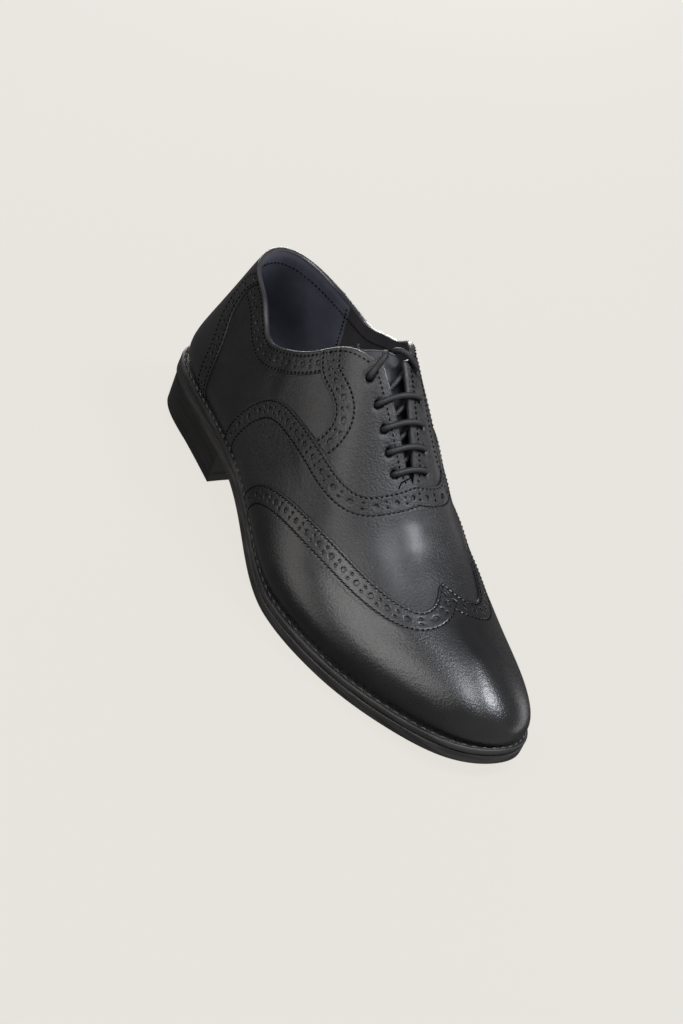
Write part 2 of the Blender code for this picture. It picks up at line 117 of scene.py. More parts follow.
THROAT_TOP, THROAT_FOOT = THROAT[0, 0], THROAT[-1, 0]
FACING_CORNER = 4.40
EYELET_PLACES = (5.43, 5.19, 4.94, 4.67, 4.36)
TONGUE_TOP = (3.84, 4.12, 4.17)
TONGUE_COLUMNS = ("place", "half_width", "depth")
TONGUE = np.array([
    (3.86, 0.0130, 1.00), (3.93, 0.0170, 1.00), (4.10, 0.0195, 1.00), (4.60, 0.0200, 1.00),
    (5.20, 0.0180, 1.00), (5.55, 0.0165, 1.00), (5.73, 0.0158, 0.95), (6.00, 0.0145, 0.40),
])
LACE_ROOM = UPPER_WALL + LACE_DIAMETER + 3 * LACE_CLEARANCE

# Edges of the leather pieces as places and climbs, each side from the sole or the topline on
WING_OUTER = (
    (4.00, 0.0), (4.20, 12.5), (4.58, 22.9), (5.26, 35.8), (6.12, 49.0), (6.60, 54.9), (7.06, 62.5),
    (7.25, 68.5), (7.27, 77.5), (7.11, 84.5), (6.97, 90.0),
)
WING_INNER = (
    (4.00, 0.0), (4.22, 13.0), (4.62, 25.0), (5.20, 38.0), (5.85, 48.5), (6.42, 54.5), (6.88, 60.5),
    (7.08, 67.0), (7.16, 76.8), (7.08, 84.0),
)
VAMP_OUTER = (
    (2.97, 0.0), (3.15, 12.2), (3.46, 23.6), (4.11, 35.4), (4.70, 44.5), (5.28, 54.6), (5.50, 62.0),
    (5.59, 71.0), (5.62, 80.0), (5.60, 90.0),
)
VAMP_INNER = (
    (2.97, 0.0), (3.15, 12.2), (3.46, 23.6), (4.05, 36.0), (4.60, 47.5), (5.02, 57.5), (5.30, 62.5),
    (5.50, 70.0), (5.57, 77.5), (5.60, 84.0),
)
FACING_REAR = (
    (3.67, None), (3.87, 46.9), (4.27, 50.4), (4.47, 50.2), (4.53, 45.5), (4.48, 39.5), (4.42, 34.0),
)
FACING_REAR_INNER = (
    (3.72, None), (3.92, 50.5), (4.25, 53.5), (4.60, 55.0), (4.85, 54.5), (5.02, 52.0), (5.14, 48.5),
)
COUNTER_FRONT = (
    (1.79, None), (1.62, 37.0), (1.66, 31.0), (1.82, 24.5), (1.97, 18.0), (2.09, 6.3), (2.12, 0.0),
)
COLLAR_ENDS = (1.55, 3.90)

# The heel grip inside the lining, and the lining's seam along its top
HEEL_GRIP_END = 2.10
GRIP_RISE = 0.0005
GRIP_ROUND = 0.0004
GRIP_TOP_CLIMB = 1.5
LINING_SEAM_END = 3.75
LINING_SEAM_CLIMB = 4.4

# Creases: place and climb of the start and of the end, then half width and depth in metres
CREASES = (
    (5.98, 62.0, 6.10, 118.0, 0.0040, 0.00030),
    (6.25, 58.0, 6.42, 112.0, 0.0045, 0.00034),
    (6.55, 66.0, 6.60, 104.0, 0.0040, 0.00026),
    (5.55, 28.0, 6.10, 44.0, 0.0045, 0.00028),
    (5.60, 150.0, 6.15, 134.0, 0.0045, 0.00028),
    (2.55, 26.0, 2.40, 40.0, 0.0030, 0.00026),
    (2.85, 22.0, 2.75, 38.0, 0.0035, 0.00030),
    (3.35, 20.0, 3.20, 38.0, 0.0040, 0.00026),
    (2.60, 150.0, 2.50, 138.0, 0.0035, 0.00028),
)

# How the chart's units measure on the shoe, for spacing along a seam
ROW_LENGTH = 0.031
DEGREE_LENGTH = 0.00105
FINE_STEPS = 1200

# The punched strip: repeats, columns to a repeat, and rows as distances in from the cut edge
PUNCH_PERIOD = 0.0090
CELL_COLUMNS = 18
STRIP_STEP = 0.0005
STRIP_REACH = 0.0115
EDGE_ROUND = 0.00035
EDGE_SEAM = 0.0015
INNER_SEAM = 0.0100
CELL_NEAR, CELL_FAR = 0.0028, 0.0084
EDGE_ROWS = (0.0, 0.0, 0.00005, 0.00015, 0.00035, 0.0007, 0.0010, 0.00125, 0.0015, 0.00175, 0.0020, 0.0024,
             0.0028)
INNER_ROWS = (0.0084, 0.0088, 0.0092, 0.0095, 0.00975, 0.0100, 0.01025, 0.0105, 0.0109, 0.0115)
CELL_SPACING = 0.0008
PAIR_APART = 0.00145
HOLE_LIP = 0.0002
HOLE_DEPTH = 0.00078
PIT_ROUND = 0.00006
PIT_SHOULDER = 0.0002
SUNK = -0.0001
WELD = 0.000008
SEAT_SINK = 0.0006

# How a panel is fitted at its ends, its sewn grooves, its thinning under another piece, and the thread
END_BLEND = 0.007
GROOVE_HALF_WIDTH = 0.00034
PUCKER = 0.25
COVERED_THINNING = 0.8
THREAD_SIDES = 6


def spline(knots, values, at, period=None):
    """A cubic spline with continuous curvature: natural at its ends, or closed after one period."""
    knots = np.asarray(knots, float)
    values = np.asarray(values, float)
    at = np.asarray(at, float)
    flat = values.ndim == 1
    if flat:
        values = values[:, None]
    if period:
        knots = np.append(knots, knots[0] + period)
        values = np.concatenate([values, values[:1]])
        at = np.mod(at - knots[0], period) + knots[0]
    count = len(knots)
    step = np.diff(knots)
    slope = np.diff(values, axis=0) / step[:, None]
    system = np.zeros((count, count))
    sides = np.zeros(values.shape)
    for row in range(1, count - 1):
        system[row, row - 1:row + 2] = step[row - 1], 2 * (step[row - 1] + step[row]), step[row]
        sides[row] = 6 * (slope[row] - slope[row - 1])
    if period:
        system[0, 0], system[0, -1] = 1, -1
        system[-1, [0, 1, -2, -1]] = 2 * step[0], step[0], step[-1], 2 * step[-1]
        sides[-1] = 6 * (slope[0] - slope[-1])
    else:
        system[0, 0] = system[-1, -1] = 1
    bend = np.linalg.solve(system, sides)
    span = np.clip(np.searchsorted(knots, at, side="right") - 1, 0, count - 2)
    t = ((at - knots[span]) / step[span])[..., None]
    width = step[span][..., None]
    result = ((1 - t) * values[span] + t * values[span + 1]
              + width ** 2 / 6 * (((1 - t) ** 3 - (1 - t)) * bend[span] + (t ** 3 - t) * bend[span + 1]))
    return result[..., 0] if flat else result


def run_along(points):
    """Distance run from a line's first point to each of its points."""
    return np.concatenate([[0], np.cumsum(np.linalg.norm(np.diff(points, axis=0), axis=1))])


def column(table, names, name):
    """One named column of a table."""
    return np.asarray(table)[:, names.index(name)]


def section(place):
    """Spine point, outline point, uprightness and welt share at a signed place, in metres and shares."""
    sides = []
    for side in ("lateral", "medial"):
        names = ("spine_x", "spine_y", side + "_x", side + "_y", side + "_upright", "welt")
        sides.append(np.stack([column(SECTIONS, SECTION_COLUMNS, name) for name in names], axis=1))
    ring = np.concatenate([sides[0], sides[1][-2:0:-1]])
    values = spline(np.arange(len(ring)), ring, place, period=len(ring))
    return values * (LAST_LENGTH, BALL_WIDTH, LAST_LENGTH, BALL_WIDTH, 1, 1)


def sole_underside(x):
    """Height of the outsole's underside: level at heel and tread, eased between, sprung at the toe."""
    share = x / LAST_LENGTH
    fall = np.clip((share - HEEL_SEAT_END) / (TREAD_START - HEEL_SEAT_END), 0, 1)
    rise = np.clip((share - TREAD_END) / (SOLE_END - TREAD_END), 0, None)
    return HEEL_HEIGHT * (1 - fall * fall * (3 - 2 * fall)) + TOE_SPRING * rise ** 2


def outsole_top(x):
    """Height of the outsole's upper face."""
    return sole_underside(x) + OUTSOLE_THICKNESS


def feather_height(x):
    """Height of the line where upper and welt meet."""
    return sole_underside(x) + OUTSOLE_THICKNESS + WELT_THICKNESS


def ridge_height(x):
    """Height of the ridge above the feather line."""
    return INSTEP_HEIGHT * spline(RIDGE[:, 0], RIDGE[:, 1], x / LAST_LENGTH)


def last(place, climb):
    """Points on the last: a superellipse from feather line to ridge, swelling low on its side."""
    values = section(place)
    spine, edge, upright = values[..., 0:2], values[..., 2:4], values[..., 4]
    lift = np.abs(np.sin(climb)) ** (2 / upright)
    reach = np.cos(climb)
    for _ in range(3):
        plan = spine + (edge - spine) * reach[..., None]
        swell = ridge_height(plan[..., 0]) * lift / SIDE_SWELL_HEIGHT
        reach = np.cos(climb) * (1 + SIDE_SWELL * swell * np.exp(1 - swell))
    plan = spine + (edge - spine) * reach[..., None]
    height = feather_height(plan[..., 0]) + ridge_height(plan[..., 0]) * lift
    return np.concatenate([plan, height[..., None]], axis=-1)


def outline(place, offset):
    """Plan outline of the last at signed places, moved outwards by an offset."""
    step = 0.001
    along = section(place + step)[..., 2:4] - section(place - step)[..., 2:4]
    along /= np.linalg.norm(along, axis=-1, keepdims=True)
    outward = np.stack([along[..., 1], -along[..., 0]], axis=-1)
    return section(place)[..., 2:4] + outward * np.asarray(offset)[..., None]


def throat(place, name):
    """Middle or half width of the throat at a place, in metres."""
    values = np.interp(np.abs(place), THROAT[:, 0], column(THROAT, THROAT_COLUMNS, name))
    return values * BALL_WIDTH if name == "middle" else values


def climb_across(place, across):
    """Climb in radians of the point at the Y value across, on the side that the place's sign names."""
    values = section(place)
    reach = (across - values[..., 1]) / np.where(place == 0, 1.0, values[..., 3] - values[..., 1])
    return np.arccos(np.clip(reach, 0, 1))


def top_climb(place):
    """Climb in radians of the upper's top edge: the topline, and the facing's edge at the throat."""
    end = TOPLINE[-1, 0]
    places = np.concatenate([-TOPLINE[:0:-1, 0], TOPLINE[:, 0]])
    shares = np.concatenate([TOPLINE[:0:-1, 2], TOPLINE[:, 1]])
    rise = COLLAR_HEIGHT * spline(places, shares, np.clip(place, -end, end))
    upright = section(place)[..., 4]
    climb = np.full(np.shape(place), math.pi / 4)
    for _ in range(12):
        lift = np.clip(rise / ridge_height(last(place, climb)[..., 0]), 0, 1)
        climb = (climb + np.arcsin(lift ** (upright / 2))) / 2
    climb = np.where(np.abs(place) > FACING_CORNER, math.pi / 2, climb)
    edge = throat(place, "middle") - np.sign(place) * throat(place, "half_width")
    facing = climb_across(place, edge)
    inside = (np.abs(place) > THROAT_TOP) & (np.abs(place) < THROAT_FOOT)
    return np.minimum(climb, np.where(inside, facing, math.pi / 2))


def foot(place, climb):
    """Point of the last at a place and a climb in degrees that runs on over the ridge."""
    over = climb > 90
    return last(np.where(over, -place, place), np.radians(np.where(over, 180 - climb, climb)))


def foot_normal(place, climb):
    """Outward unit normal: the cross product of two short chords, one forwards and one up the section."""
    step_place, step_climb = 0.01, 0.6
    normals = []
    for centre, low, high in ((np.minimum(climb, 89.0), 0.0, 90.0), (np.maximum(climb, 91.0), 90.0, 180.0)):
        forward = foot(place + step_place, centre) - foot(place - step_place, centre)
        above, below = np.minimum(centre + step_climb, high), np.maximum(centre - step_climb, low)
        upward = foot(place, above) - foot(place, below)
        normal = np.cross(forward, upward)
        normals.append(normal / np.linalg.norm(normal, axis=-1, keepdims=True))
    share = np.clip((climb - 89.0) / 2, 0, 1)[..., None]
    normal = normals[0] * (1 - share) + normals[1] * share
    return normal / np.linalg.norm(normal, axis=-1, keepdims=True)


def creases(place, climb):
    """Level change from the creases: each a soft trough along a line, with a lower ridge beside it."""
    level = np.zeros(np.shape(place))
    for start, start_climb, end, end_climb, half_width, depth in CREASES:
        depth = depth * bpy.context.scene.brogue_leather.creasing
        run = np.array([(end - start) * ROW_LENGTH, (end_climb - start_climb) * DEGREE_LENGTH])
        length = np.linalg.norm(run)
        run /= length
        ahead = (place - start) * ROW_LENGTH
        up = (climb - start_climb) * DEGREE_LENGTH
        along = (ahead * run[0] + up * run[1]) / length
        aside = (ahead * run[1] - up * run[0]) / half_width
        fade = np.clip(1 - (2 * along - 1) ** 2, 0, None) ** 2
        level += depth * fade * (0.55 * np.exp(-(aside - 1.9) ** 2) - np.exp(-aside ** 2))
    return level


def surface(place, climb, level=0.0):
    """Point on the shoe at a place, climb and level, seated into the welt at the feather line."""
    place, climb, level = np.broadcast_arrays(*(np.asarray(v, float) for v in (place, climb, level)))
    point = foot(place, climb) + foot_normal(place, climb) * (level + creases(place, climb))[..., None]
    above_sole = np.minimum(climb, 180 - climb)
    point[..., 2] += GAP - SEAT_SINK * np.exp(-(above_sole / 2) ** 2)
    return point + SHIFT


def top_line(place, side):
    """Climb in degrees of the top edge at a place: side is -1 outside and 1 inside the foot."""
    climb = np.degrees(top_climb(np.asarray(-side * place, float)))
    return climb if side < 0 else 180 - climb


def side_climb(place, climb, side):
    """An outer climb as it stands, or the inner climb that lies as high at the same place."""
    if side < 0:
        return climb
    outer, inner = section(place)[4], section(-place)[4]
    lift = math.sin(math.radians(climb)) ** (2 / outer)
    return 180 - math.degrees(math.asin(lift ** (inner / 2)))


def equal_climb(place, climb, side):
    """An outer climb as it stands, or the same climb counted from the inner feather line."""
    return climb if side < 0 else 180 - climb


def edge_from_top(table, side, turned=side_climb):
    """An edge's spots on one side: the first on the topline, the others at the table's climbs, turned."""
    return [(place, float(top_line(place, side)) if climb is None else turned(place, climb, side))
            for place, climb in table]


def climb_at(place, across):
    """Climb in degrees of the spot at a place and a Y value over the instep."""
    inner = across > section(place)[..., 1]
    climb = np.degrees(climb_across(np.where(inner, -place, place), across))
    return np.where(inner, 180 - climb, climb)


def instep(place, across, level):
    """A point over the instep at a place and a Y value, raised by a level along the last's normal."""
    place, across, level = np.broadcast_arrays(*(np.asarray(v, float) for v in (place, across, level)))

    def spot(at, y):
        signed = np.where(y > section(at)[..., 1], -at, at)
        return last(signed, climb_across(signed, y))

    step_place, step_across = 0.01, 0.0005
    forward = spot(place + step_place, across) - spot(place - step_place, across)
    inward = spot(place, across + step_across) - spot(place, across - step_across)
    normal = np.cross(forward, inward)
    normal /= np.linalg.norm(normal, axis=-1, keepdims=True)
    return spot(place, across) + normal * level[..., None]


def ground_shift():
    """What moves the model so that its outer box is centred on the origin."""
    places = np.linspace(-TOE, TOE, 801)
    edge = outline(places, WELT_REACH * section(places)[..., 5])
    low, high = edge.min(axis=0), edge.max(axis=0)
    return np.array([-(low[0] + high[0]) / 2, -(low[1] + high[1]) / 2, 0.0])


SHIFT = ground_shift()


def grid(points, closed=False):
    """A patch of quads over rows and columns of points, closed across its columns if asked."""
    rows, columns = points.shape[:2]
    across = columns if closed else columns - 1
    row, step = np.meshgrid(np.arange(rows - 1), np.arange(across), indexing="ij")
    after = (step + 1) % columns
    faces = np.stack([row * columns + step, row * columns + after,
                      (row + 1) * columns + after, (row + 1) * columns + step], axis=-1)
    return points.reshape(-1, 3), faces.reshape(-1, 4)


# The foot's middle line, from which the faces of a patch are turned away
MIDDLE_ENDS = (-0.105, 0.085)
MIDDLE_HEIGHT = 0.035


def outwards(patch, flip=False):
    """The patch with its faces turned away from the foot's middle line, or towards it if flipped."""
    points, faces = patch
    corners = points[faces[:, :3]]
    normals = np.cross(corners[:, 1] - corners[:, 0], corners[:, 2] - corners[:, 0])
    centres = corners.mean(axis=1)
    middle = centres.copy()
    middle[:, 0] = np.clip(centres[:, 0], *MIDDLE_ENDS)
    middle[:, 1] = 0
    middle[:, 2] = MIDDLE_HEIGHT
    out = np.sum(normals * (centres - middle)) > 0
    return (points, faces if out != flip else faces[:, ::-1])


def add_piece(name, patches, material, replaces=(), sharp=60.0):
    """One finished object from its patches, with shared edges welded, riding on the one body."""
    points = np.concatenate([patch[0] for patch in patches])
    faces = []
    start = 0
    for patch_points, patch_faces in patches:
        faces += (np.asarray(patch_faces) + start).tolist()
        start += len(patch_points)
    mesh = bpy.data.meshes.new(name)
    mesh.from_pydata(points.tolist(), [], faces)
    tidy = bmesh.new()
    tidy.from_mesh(mesh)
    bmesh.ops.remove_doubles(tidy, verts=tidy.verts, dist=WELD)
    tidy.to_mesh(mesh)
    tidy.free()
    mesh.materials.append(material)
    mesh.shade_smooth()
    mesh.set_sharp_from_angle(angle=math.radians(sharp))
    piece = bpy.data.objects.new(name, mesh)
    bpy.context.scene.collection.objects.link(piece)
    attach(piece, "root")
    if replaces:
        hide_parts(*replaces)
    return piece


def cut_sheet(border, holes, spacing):
    """A flat sheet with round pits: plan points, drops below its face, and triangles.

    The border is a closed run of points. Each hole is its centre, radius and count of sides. The face
    is filled with points in staggered rows and triangulated by Delaunay's rule around the border and
    the holes' lips. Each pit goes down from its lip by four rings to its floor.
    """
    border = np.asarray(border, float)
    plan = [border]
    edges = [(i, (i + 1) % len(border)) for i in range(len(border))]
    rings = []
    for x, y, radius, sides in holes:
        turns = 2 * math.pi * np.arange(sides) / sides
        circle = np.column_stack([np.cos(turns), np.sin(turns)])
        start = sum(len(p) for p in plan)
        plan.append((x, y) + circle * (radius + HOLE_LIP))
        edges += [(start + i, start + (i + 1) % sides) for i in range(sides)]
        rings.append((x, y, radius, circle, start))
    low, high = border.min(axis=0), border.max(axis=0)
    xs = np.arange(low[0], high[0], spacing)
    ys = np.arange(low[1], high[1], spacing * 0.87)
    fill = np.stack(np.meshgrid(xs, ys), axis=-1)
    fill[1::2, :, 0] += spacing / 2
    fill = fill.reshape(-1, 2)
    keep = within(fill, border)
    keep &= np.linalg.norm(fill[:, None] - border[None], axis=-1).min(axis=1) > 0.55 * spacing
    for x, y, radius, _, _ in rings:
        keep &= np.hypot(fill[:, 0] - x, fill[:, 1] - y) > radius + HOLE_LIP + 0.45 * spacing
    plan.append(fill[keep])
    plan = np.concatenate(plan)
    result = geometry.delaunay_2d_cdt([Vector(p) for p in plan * 1000], edges, [], 0, 0.00001)
    plan = np.array([tuple(v) for v in result[0]]) / 1000
    faces = np.array([f for f in result[2] if len(f) == 3])
    centres = plan[faces].mean(axis=1)
    keep = within(centres, border)
    for x, y, radius, _, _ in rings:
        keep &= np.hypot(centres[:, 0] - x, centres[:, 1] - y) > (radius + HOLE_LIP) * 0.99
    faces = [faces[keep]]
    drop = [np.zeros(len(plan))]
    plans = [plan]
    count = len(plan)
    for x, y, radius, circle, start in rings:
        sides = len(circle)
        lip = start + np.arange(sides)
        for reach, depth in ((radius + PIT_ROUND, PIT_ROUND), (radius, PIT_SHOULDER),
                             (radius * 0.97, HOLE_DEPTH), (0.0, HOLE_DEPTH)):
            ring = count + np.arange(sides)
            after, lip_after = np.roll(ring, -1), np.roll(lip, -1)
            plans.append((x, y) + circle * reach)
            drop.append(np.full(sides, depth))
            faces.append(np.column_stack([lip, lip_after, after]))
            faces.append(np.column_stack([lip, after, ring]))
            lip = ring
            count += sides
    return np.concatenate(plans), np.concatenate(drop), np.concatenate(faces)


def within(points, border):
    """Which points lie inside a closed border, by counting the edges that a ray crosses."""
    x, y = points[:, 0, None], points[:, 1, None]
    ax, ay = border[:, 0][None], border[:, 1][None]
    bx, by = np.roll(border[:, 0], -1)[None], np.roll(border[:, 1], -1)[None]
    spans = (ay > y) != (by > y)
    with np.errstate(divide="ignore", invalid="ignore"):
        crossing = (bx - ax) * (y - ay) / (by - ay) + ax
    return (np.sum(spans & (x < crossing), axis=1) % 2).astype(bool)


@functools.lru_cache(maxsize=None)
def punched_cell(large, small):
    """One repeat of the punching: a large hole, then a pair of small ones across the strip."""
    columns = np.linspace(0, PUNCH_PERIOD, CELL_COLUMNS + 1)
    side = np.linspace(CELL_NEAR, CELL_FAR, 9)[1:-1]
    border = np.concatenate([
        np.column_stack([columns, np.full(len(columns), CELL_NEAR)]),
        np.column_stack([np.full(len(side), PUNCH_PERIOD), side]),
        np.column_stack([columns[::-1], np.full(len(columns), CELL_FAR)]),
        np.column_stack([np.zeros(len(side)), side[::-1]]),
    ])
    middle = (CELL_NEAR + CELL_FAR) / 2
    holes = ((PUNCH_PERIOD * 0.25, middle, large, 20),
             (PUNCH_PERIOD * 0.75, middle - PAIR_APART, small, 12),
             (PUNCH_PERIOD * 0.75, middle + PAIR_APART, small, 12))
    return cut_sheet(border, holes, CELL_SPACING)


def march(start, into, distances):
    """Chart lines at growing distances from a first one, walked over the surface square to it.

    At each step the way in is kept as a direction in space and laid into the surface's own plane, and
    the two chart units that make it up come from the surface's slopes by least squares.
    """
    def slopes(line):
        low = np.where(line[:, 1] > 90, 90.0, 0.0)
        high = low + 90
        up_to = np.minimum(line[:, 1] + 0.5, high)
        down_to = np.maximum(line[:, 1] - 0.5, low)
        by_place = (foot(line[:, 0] + 0.01, line[:, 1]) - foot(line[:, 0] - 0.01, line[:, 1])) / 0.02
        by_climb = (foot(line[:, 0], up_to) - foot(line[:, 0], down_to)) / (up_to - down_to)[:, None]
        return by_place, by_climb

    line = start.copy()
    by_place, by_climb = slopes(line)
    along = np.gradient(foot(line[:, 0], line[:, 1]), axis=0)
    normal = np.cross(by_place, by_climb)
    inward = np.cross(normal, along) * into
    inward /= np.linalg.norm(inward, axis=1, keepdims=True)
    reach = 24
    kernel = np.exp(-0.5 * (np.arange(-reach, reach + 1) / 8.0) ** 2)
    kernel /= kernel.sum()
    padded = np.pad(inward, ((reach, reach), (0, 0)), mode="edge")
    inward = np.column_stack([np.convolve(padded[:, axis], kernel, mode="valid") for axis in range(3)])
    lines = [line]
    for step in np.diff(distances):
        by_place, by_climb = slopes(line)
        normal = np.cross(by_place, by_climb)
        normal /= np.linalg.norm(normal, axis=1, keepdims=True)
        heading = inward - np.sum(inward * normal, axis=1, keepdims=True) * normal
        heading /= np.linalg.norm(heading, axis=1, keepdims=True)
        pp = np.sum(by_place * by_place, axis=1)
        pc = np.sum(by_place * by_climb, axis=1)
        cc = np.sum(by_climb * by_climb, axis=1)
        hp = np.sum(heading * by_place, axis=1)
        hc = np.sum(heading * by_climb, axis=1)
        scale = step / (pp * cc - pc * pc)
        line = line + np.column_stack([(hp * cc - hc * pc) * scale, (hc * pp - hp * pc) * scale])
        lines.append(line)
    return np.array(lines)


def even_line(points, count=None, spacing=None):
    """A chart line through chosen spots, by spline, at even steps of real length."""
    points = np.asarray(points, float)
    knots = run_along(points * (ROW_LENGTH, DEGREE_LENGTH))
    fine = np.linspace(0, knots[-1], FINE_STEPS)
    line = spline(knots, points, fine)
    run = run_along(foot(line[:, 0], line[:, 1]))
    if count is None:
        count = max(2, int(round(run[-1] / spacing)))
    at = np.interp(np.linspace(0, run[-1], count + 1), run, fine)
    return spline(knots, points, at), run[-1]


def coons(left, right, top, bottom, u, corners):
    """Spots of a Coons patch: both blends between facing lines, less the blend of the four corners."""
    u = u[None, :, None]
    v = np.linspace(0, 1, len(left))[:, None, None]
    return ((1 - u) * left[:, None] + u * right[:, None] + (1 - v) * top[None] + v * bottom[None]
            - (1 - u) * (1 - v) * corners[0] - u * (1 - v) * corners[1]
            - (1 - u) * v * corners[2] - u * v * corners[3])


class Panel:
    """A leather piece with one punched edge.

    Its strip is a chart of spots in rows, one for each half millimetre in from the edge, and columns,
    18 to a repeat of the punching. Its level falls from the edge's rise to the sink by an exponential.
    """

    def __init__(self, edge, into, ends, rise, sink, fade, repeats=None, rolled="edge", covered=None):
        leather = bpy.context.scene.brogue_leather
        if repeats is None:
            _, length = even_line(edge, spacing=PUNCH_PERIOD)
            repeats = max(1, int(round(length / PUNCH_PERIOD)))
        self.repeats = repeats
        self.columns = repeats * CELL_COLUMNS
        start, self.length = even_line(edge, count=self.columns)
        rows = int(round(STRIP_REACH / STRIP_STEP)) + 1
        self.chart = march(start, into, np.arange(rows) * STRIP_STEP)
        run = np.linspace(0, self.length, self.columns + 1)
        for end, distance_run, climb_of in ((0, run, ends[0]), (-1, self.length - run, ends[1])):
            if climb_of is None:
                continue
            wanted = climb_of(self.chart[:, end, 0])
            shift = wanted - self.chart[:, end, 1]
            self.chart[:, :, 1] += np.exp(-(distance_run / END_BLEND) ** 2)[None] * shift[:, None]
        self.rise = np.broadcast_to(rise(self.chart[0]) if callable(rise) else rise, self.columns + 1)
        self.sink, self.fade, self.rolled = sink, fade, rolled
        self.covered = covered
        self.groove = leather.stitch_groove
        self.seam_runs = []
        for seam in (EDGE_SEAM, INNER_SEAM):
            columns = np.arange(self.columns + 1.0)
            place, climb = self.at(columns, np.full(columns.shape, seam))
            run = run_along(foot(place, climb))
            self.seam_runs.append(run / run[-1] * max(1, int(run[-1] / leather.stitch_pitch)))
        self.large, self.small = leather.large_hole / 2, leather.small_hole / 2

    def at(self, column, distance):
        """Spot at a column and a distance, between the chart's rows and columns in straight shares."""
        x = np.clip(column, 0, self.columns)
        y = np.clip(distance / STRIP_STEP, 0, len(self.chart) - 1)
        left = np.minimum(x.astype(int), self.columns - 1)
        near = np.minimum(y.astype(int), len(self.chart) - 2)
        x, y = (x - left)[..., None], (y - near)[..., None]
        near_row = self.chart[near, left] * (1 - x) + self.chart[near, left + 1] * x
        far_row = self.chart[near + 1, left] * (1 - x) + self.chart[near + 1, left + 1] * x
        spot = near_row * (1 - y) + far_row * y
        return spot[..., 0], spot[..., 1]

    def level(self, column, distance):
        """Level of the leather's face: high at its edge, sinking by an exponential."""
        rise = np.interp(column, np.arange(self.columns + 1), self.rise)
        return self.sink + (rise - self.sink) * np.exp(-distance / self.fade)

    def seam_drop(self, column, distance):
        """Depth of the two sewn grooves: deep under each stitch, with the leather puckered up between."""
        drop = 0.0
        for seam, run in zip((EDGE_SEAM, INNER_SEAM), self.seam_runs):
            stitch = np.sin(math.pi * np.interp(column, np.arange(self.columns + 1), run)) ** 2
            trough = np.exp(-((distance - seam) / GROOVE_HALF_WIDTH) ** 2)
            drop = drop + trough * (1.35 * stitch - PUCKER)
        return self.groove * drop

    def skin(self, column, distance, drop=0.0):
        """Points of the leather's face, dropped by a depth."""
        place, climb = self.at(column, distance)
        level = self.level(column, distance) - drop - self.seam_drop(column, distance)
        if self.covered:
            level = level * (1 - COVERED_THINNING * self.covered(place, climb))
        return surface(place, climb, level)

    def strip(self):
        """The strip's patches: rows by the rounded edge, punched cells, and rows by the inner seam."""
        columns, distances = np.meshgrid(np.arange(self.columns + 1.0), np.array(EDGE_ROWS))
        drop = np.zeros(columns.shape)
        if self.rolled == "edge":
            inside = np.clip(EDGE_ROUND - distances, 0, EDGE_ROUND)
            drop = EDGE_ROUND - np.sqrt(EDGE_ROUND ** 2 - inside ** 2)
            drop[0] = self.level(columns[0], distances[0]) - SUNK
        near = self.skin(columns, distances, drop)
        columns, distances = np.meshgrid(np.arange(self.columns + 1.0), np.array(INNER_ROWS))
        drop = np.zeros(columns.shape)
        if self.rolled == "far":
            drop[-1] = self.level(columns[-1], distances[-1]) - SUNK
            distances = distances.copy()
            distances[-1] = distances[-2] + 0.0001
        far = self.skin(columns, distances, drop)
        plan, pit, faces = punched_cell(self.large, self.small)
        shifts = np.arange(self.repeats)[:, None]
        cell_columns = shifts * CELL_COLUMNS + (plan[:, 0] / PUNCH_PERIOD * CELL_COLUMNS)[None]
        distance = np.broadcast_to(plan[:, 1], cell_columns.shape)
        cells = self.skin(cell_columns, distance, np.broadcast_to(pit, cell_columns.shape))
        cell_faces = (faces[None] + (shifts * len(plan))[..., None]).reshape(-1, 3)
        return [outwards(grid(near)), outwards((cells.reshape(-1, 3), cell_faces)), outwards(grid(far))]

    def inner(self):
        """The strip's last line of spots, where the rest of the piece begins."""
        return self.chart[-1]

    def body(self, right, top, bottom, steps):
        """The rest of the piece: a Coons patch between the strip's inner line, a far line and the ends."""
        u = np.linspace(0, 1, steps + 1)
        top, bottom = top(u), bottom(u)
        spots = coons(self.inner(), right, top, bottom, u, (top[0], top[-1], bottom[0], bottom[-1]))
        points = foot(spots[..., 0], spots[..., 1])
        steps_in = np.linalg.norm(np.diff(points, axis=1), axis=-1)
        inward = STRIP_REACH + np.cumsum(np.pad(steps_in, ((0, 0), (1, 0))), axis=1)
        level = self.sink + (self.rise[:, None] - self.sink) * np.exp(-inward / self.fade)
        return outwards(grid(surface(spots[..., 0], spots[..., 1], level)))

    def seams(self):
        """The lines of the two sewn rows: places, climbs and levels."""
        columns = np.arange(self.columns + 1.0)
        rows = []
        for distance in (EDGE_SEAM, INNER_SEAM):
            away = np.full(columns.shape, distance)
            place, climb = self.at(columns, away)
            rows.append((place, climb, self.level(columns, away) - 0.55 * self.groove))
        return rows


